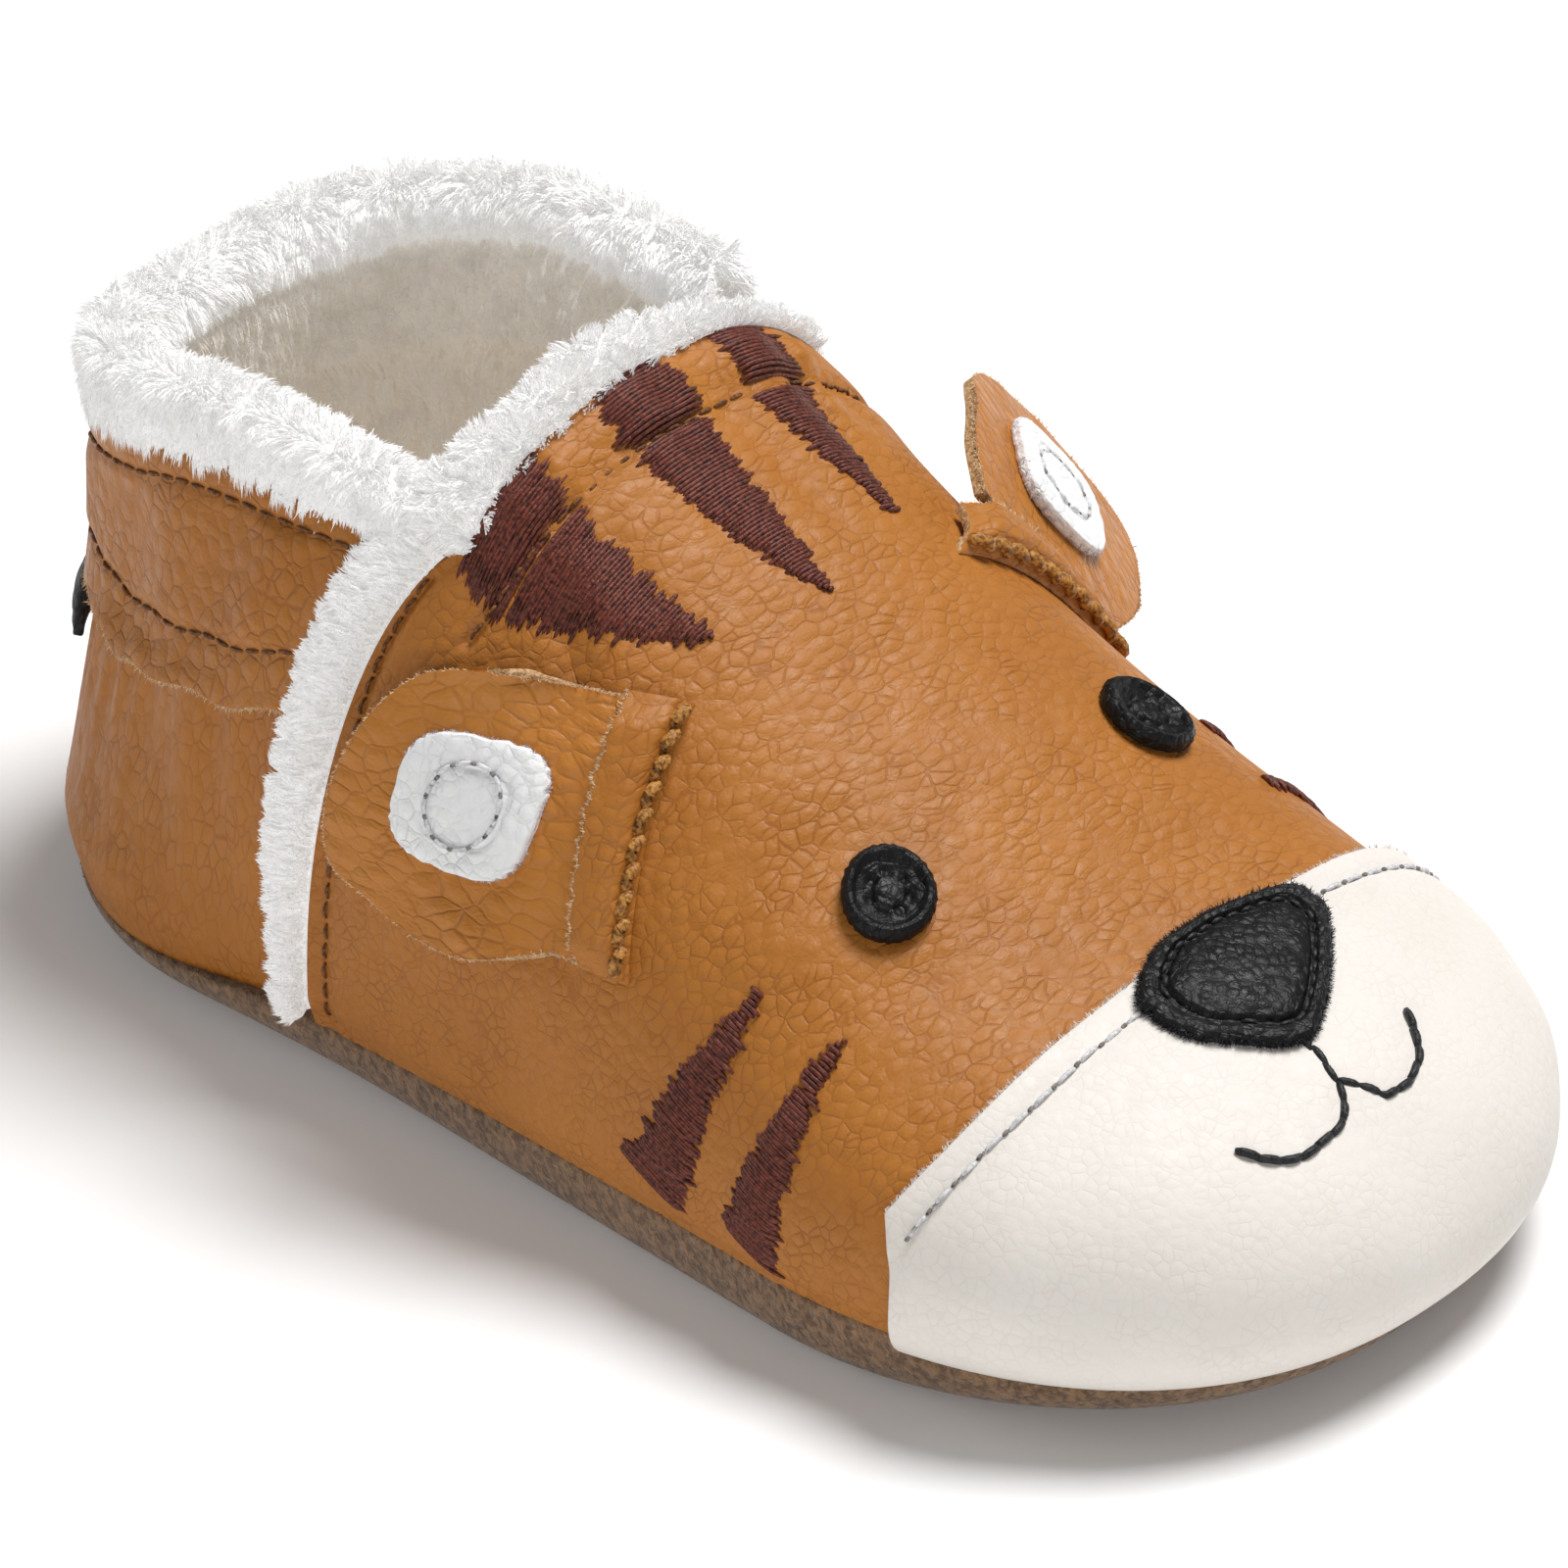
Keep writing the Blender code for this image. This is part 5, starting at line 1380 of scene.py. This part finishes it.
# Rings of stitches that hold the ear patches and the nose.
RING = np.linspace(0, 1, 240)
for ear_side in (-1, 1):
    ring_name = "left" if ear_side > 0 else "right"
    turn = np.stack([np.cos(RING * 2 * math.pi), np.sin(RING * 2 * math.pi)], -1)
    plan = np.array([PATCH_X[ear_side], PATCH_Z[ear_side]]) + turn * PATCH_RING
    face = EAR_SEAT + EAR_THICKNESS + 1.3 + EAR_LIFT[ear_side] * 0.2
    rows = [ear_face(plan[:, 0], plan[:, 1], face + up + 0 * RING, ear_side) for up in (0.0, 1.0)]
    stitches("patch_stitches_" + ring_name, *rows, 1.7, 0.75, 0.2, 0.12, SILVER_THREAD, "white_leather",
             0.08)
    # Short grey marks between the patch stitches: painted shade in the needle holes.
    stitches("patch_hole_shade_" + ring_name, *rows, 1.7, 0.25, 0.16, 0.06, HOLE_SHADE, "white_leather", 0.05,
             phase=0.0)
nose_middle, nose_edge = nose_rim(RING)
plan = nose_middle + (nose_edge - nose_middle) * NOSE_RING
rows = [skin(plan[:, 0], plan[:, 1], CAP_TOP + 0.65 + up) for up in (0.0, 1.0)]
stitches("nose_stitches", *rows, 1.5, 0.8, 0.24, 0.15, BLACK_THREAD, "black_leather", 0.1)

MOUTH = {
    "stem": [(51.6, 0.4), (54.3, -0.2), (56.1, -0.65)],
    "left": [(56.1, -0.65), (57.6, 1.0), (58.75, 2.1), (58.7, 4.4), (57.85, 6.7), (56.4, 8.3), (54.2, 9.7)],
    "right": [(56.1, -0.65), (57.9, -2.1), (58.65, -3.75), (58.8, -5.9), (58.7, -8.2), (57.45, -10.4),
              (55.9, -11.8)],
}
for mouth_part, mouth_points in MOUTH.items():
    plan = curve(mouth_points, 200)
    rows = [skin(plan[:, 0], plan[:, 1], CAP_TOP + 0.05 + up) for up in (0.0, 1.0)]
    stitches("mouth_" + mouth_part, *rows, 1.6, 1.3, 0.34, 0.22, BLACK_THREAD, "black_leather", 0.06)

# Embroidered stripes: close rows of satin thread between two edges.
THREAD_PITCH = 0.28
THREAD_RADIUS = 0.21
THREAD_RAGGED = 0.28
STRIPE_SPLIT = 0.15
STRIPE_FULLNESS = 0.64
TOP_STRIPES = table("tip_x tip_y low_y high_y", [(3.5, -10.5, -22.0, -12.2), (5.6, 0.1, -7.2, 1.8),
                                                  (1.9, 10.8, 6.2, 13.6)])
CHEEK_STRIPES = table("tip_x tip_z rear_x rear_z fore_x fore_z", [(21.4, 26.5, 12.0, 8.6, 19.8, 5.8),
                                                                  (28.75, 24.9, 23.2, 8.0, 29.9, 5.8)])


def satin(name, starts, ends, place, seed):
    """Close threads from one ragged edge to the other, placed by two shares and a height."""
    dice = np.random.default_rng(seed)
    count = len(starts)
    span = ends - starts
    length = np.maximum(np.linalg.norm(span, axis=1, keepdims=True), 1e-6)
    starts = starts + span / length * dice.normal(0, THREAD_RAGGED, (count, 1))
    ends = ends + span / length * dice.normal(0, THREAD_RAGGED, (count, 1))
    at = np.linspace(0, 1, 9)
    flat = starts[:, None] + (ends - starts)[:, None] * at[:, None]
    arch = np.array([-0.25, 0.1, 0.2, 0.24, 0.26, 0.24, 0.2, 0.1, -0.25]) + dice.normal(0, 0.03, (count, 1))
    points = place(flat[..., 0].ravel(), flat[..., 1].ravel(), arch.ravel()).reshape(count, 9, 3)
    radii = THREAD_RADIUS * np.array([0.5, 0.9, 1, 1, 1, 1, 1, 0.9, 0.5])
    return strands(name, points, radii[None], BROWN_SATIN, sides=5)


for k in range(3):
    tip = np.array([TOP_STRIPES["tip_x"][k], TOP_STRIPES["tip_y"][k]])
    rows = np.arange(THROAT_X + 0.3, tip[0] - 0.3, THREAD_PITCH)
    seam = THROAT_X + HEM_FROM_THROAT
    rows = rows[np.abs(rows - seam) > STRIPE_SPLIT]
    share = np.maximum((rows - seam) / (tip[0] - seam), 0)
    full = (1 - share) ** STRIPE_FULLNESS
    low = tip[1] + (TOP_STRIPES["low_y"][k] - tip[1]) * full
    high = tip[1] + (TOP_STRIPES["high_y"][k] - tip[1]) * full
    satin("top_stripe_%d" % k, np.stack([rows, low], -1), np.stack([rows, high], -1), on_vamp, 20 + k)

for side in (-1, 1):
    for k in range(2):
        stripe = {name: column[k] for name, column in CHEEK_STRIPES.items()}
        tip = np.array([stripe["tip_x"], stripe["tip_z"]])
        rear = np.array([stripe["rear_x"], stripe["rear_z"]])
        fore = np.array([stripe["fore_x"], stripe["fore_z"]])
        share = np.linspace(0, 0.97, int((tip[1] - fore[1]) / THREAD_PITCH))[:, None]
        middle = (rear + fore) / 2 + (tip - (rear + fore) / 2) * share
        half = (fore - rear) / 2 * (1 - share) ** STRIPE_FULLNESS

        def place_cheek(x, z, height):
            """Point above the side of the vamp."""
            high = vamp_side(x, np.maximum(z, BELLY_Z + 0.4))
            point = on_vamp(x, side * np.minimum(high[:, 1], half_width(x) * 0.997), height)
            point[:, 2] += np.minimum(z - BELLY_Z - 0.4, 0)
            return point

        satin("cheek_stripe_%s_%d" % ("left" if side > 0 else "right", k), middle - half,
              middle + half, place_cheek, 30 + k + side)

# Fibres out of the cut edges of the leather.
ALONG = np.linspace(0, 1, 300)
fuzz("band_fuzz", place_band, ALONG, 0 * ALONG, 5200, 0.8, TAN_FIBRE, 50, depth=1.0)
fuzz("cap_fuzz", place_cap, ALONG, 0 * ALONG + 1, 2600, 0.65, CREAM_EDGE, 51)


def place_nose_edge(s, r):
    """Point near the edge of the nose."""
    middle, outline = nose_rim(s)
    plan = middle + (outline - middle) * r[:, None]
    return skin(plan[:, 0], plan[:, 1], CAP_TOP + 0.9)


fuzz("nose_fuzz", place_nose_edge, ALONG, 0 * ALONG + 1, 2600, 0.75, BLACK_EDGE, 55)


def place_sole_rim(s, r):
    """Point on the flank of the sole, up to the seam."""
    return sole_dish(2 * s, 0.3 * (1 - r), 0.0)


fuzz("sole_fuzz", place_sole_rim, ALONG, 0 * ALONG + 1, 5000, 0.6, SOLE_SUEDE, 60, depth=0.4)

# Stage: white floor, soft studio light and the camera at the photograph's view.
CAMERA_AZIMUTH = math.radians(42.9)
CAMERA_ELEVATION = math.radians(32.0)
CAMERA_ROLL = math.radians(-0.55)
CAMERA_DISTANCE = 754.0
CAMERA_TARGET = Vector((-1.06, 1.06, 22.81))
CAMERA_LENS = 220.57
SENSOR = 36.0
FLOOR_SIZE = 4.0
LAMPS = {
    "key": ((60, 330, 830), 460, 8.8),
    "fill": ((480, -720, 210), 600, 2.5),
    "side": ((-600, -360, 260), 500, 0.6),
}
WORLD_STRENGTH = 0.14


def make_floor():
    """Plain white floor."""
    shape = bmesh.new()
    bmesh.ops.create_grid(shape, x_segments=1, y_segments=1, size=FLOOR_SIZE)
    mesh = bpy.data.meshes.new("floor")
    shape.to_mesh(mesh)
    shape.free()
    material = bpy.data.materials.new("white floor")
    material.use_nodes = True
    shader = material.node_tree.nodes["Principled BSDF"]
    shader.inputs["Base Color"].default_value = (0.96, 0.955, 0.95, 1)
    shader.inputs["Roughness"].default_value = 0.9
    shader.inputs["Emission Color"].default_value = (1, 1, 1, 1)
    shader.inputs["Emission Strength"].default_value = 0.05
    mesh.materials.append(material)
    floor = bpy.data.objects.new("floor", mesh)
    bpy.context.scene.collection.objects.link(floor)
    floor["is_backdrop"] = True


def make_lamps():
    """Large soft lamps and an even white surround."""
    for name, (place, size, power) in LAMPS.items():
        lamp = bpy.data.lights.new(name, "AREA")
        lamp.shape = "DISK"
        lamp.size = size * MM
        lamp.energy = power
        holder = bpy.data.objects.new(name, lamp)
        holder.location = Vector(place) * MM
        holder.rotation_euler = (-holder.location).to_track_quat("-Z", "Y").to_euler()
        bpy.context.scene.collection.objects.link(holder)
    world = bpy.data.worlds.new("white surround")
    world.use_nodes = True
    world.node_tree.nodes["Background"].inputs["Color"].default_value = (1, 1, 1, 1)
    world.node_tree.nodes["Background"].inputs["Strength"].default_value = WORLD_STRENGTH
    bpy.context.scene.world = world


def make_camera():
    """Camera fitted to the photograph."""
    camera = bpy.data.cameras.new("camera")
    camera.lens = CAMERA_LENS
    camera.sensor_width = SENSOR
    camera.clip_start = 0.01
    holder = bpy.data.objects.new("camera", camera)
    back = Vector((math.sin(CAMERA_AZIMUTH) * math.cos(CAMERA_ELEVATION),
                   -math.cos(CAMERA_AZIMUTH) * math.cos(CAMERA_ELEVATION), math.sin(CAMERA_ELEVATION)))
    level = (-back).cross(Vector((0, 0, 1))).normalized()
    upright = level.cross(-back)
    right = level * math.cos(CAMERA_ROLL) + upright * math.sin(CAMERA_ROLL)
    up = upright * math.cos(CAMERA_ROLL) - level * math.sin(CAMERA_ROLL)
    turn = Matrix((right, up, back)).transposed().to_4x4()
    holder.matrix_world = Matrix.Translation((CAMERA_TARGET + back * CAMERA_DISTANCE) * MM) @ turn
    bpy.context.scene.collection.objects.link(holder)
    bpy.context.scene.camera = holder


make_floor()
make_lamps()
make_camera()
bpy.context.scene.view_settings.view_transform = "Standard"

low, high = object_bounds()
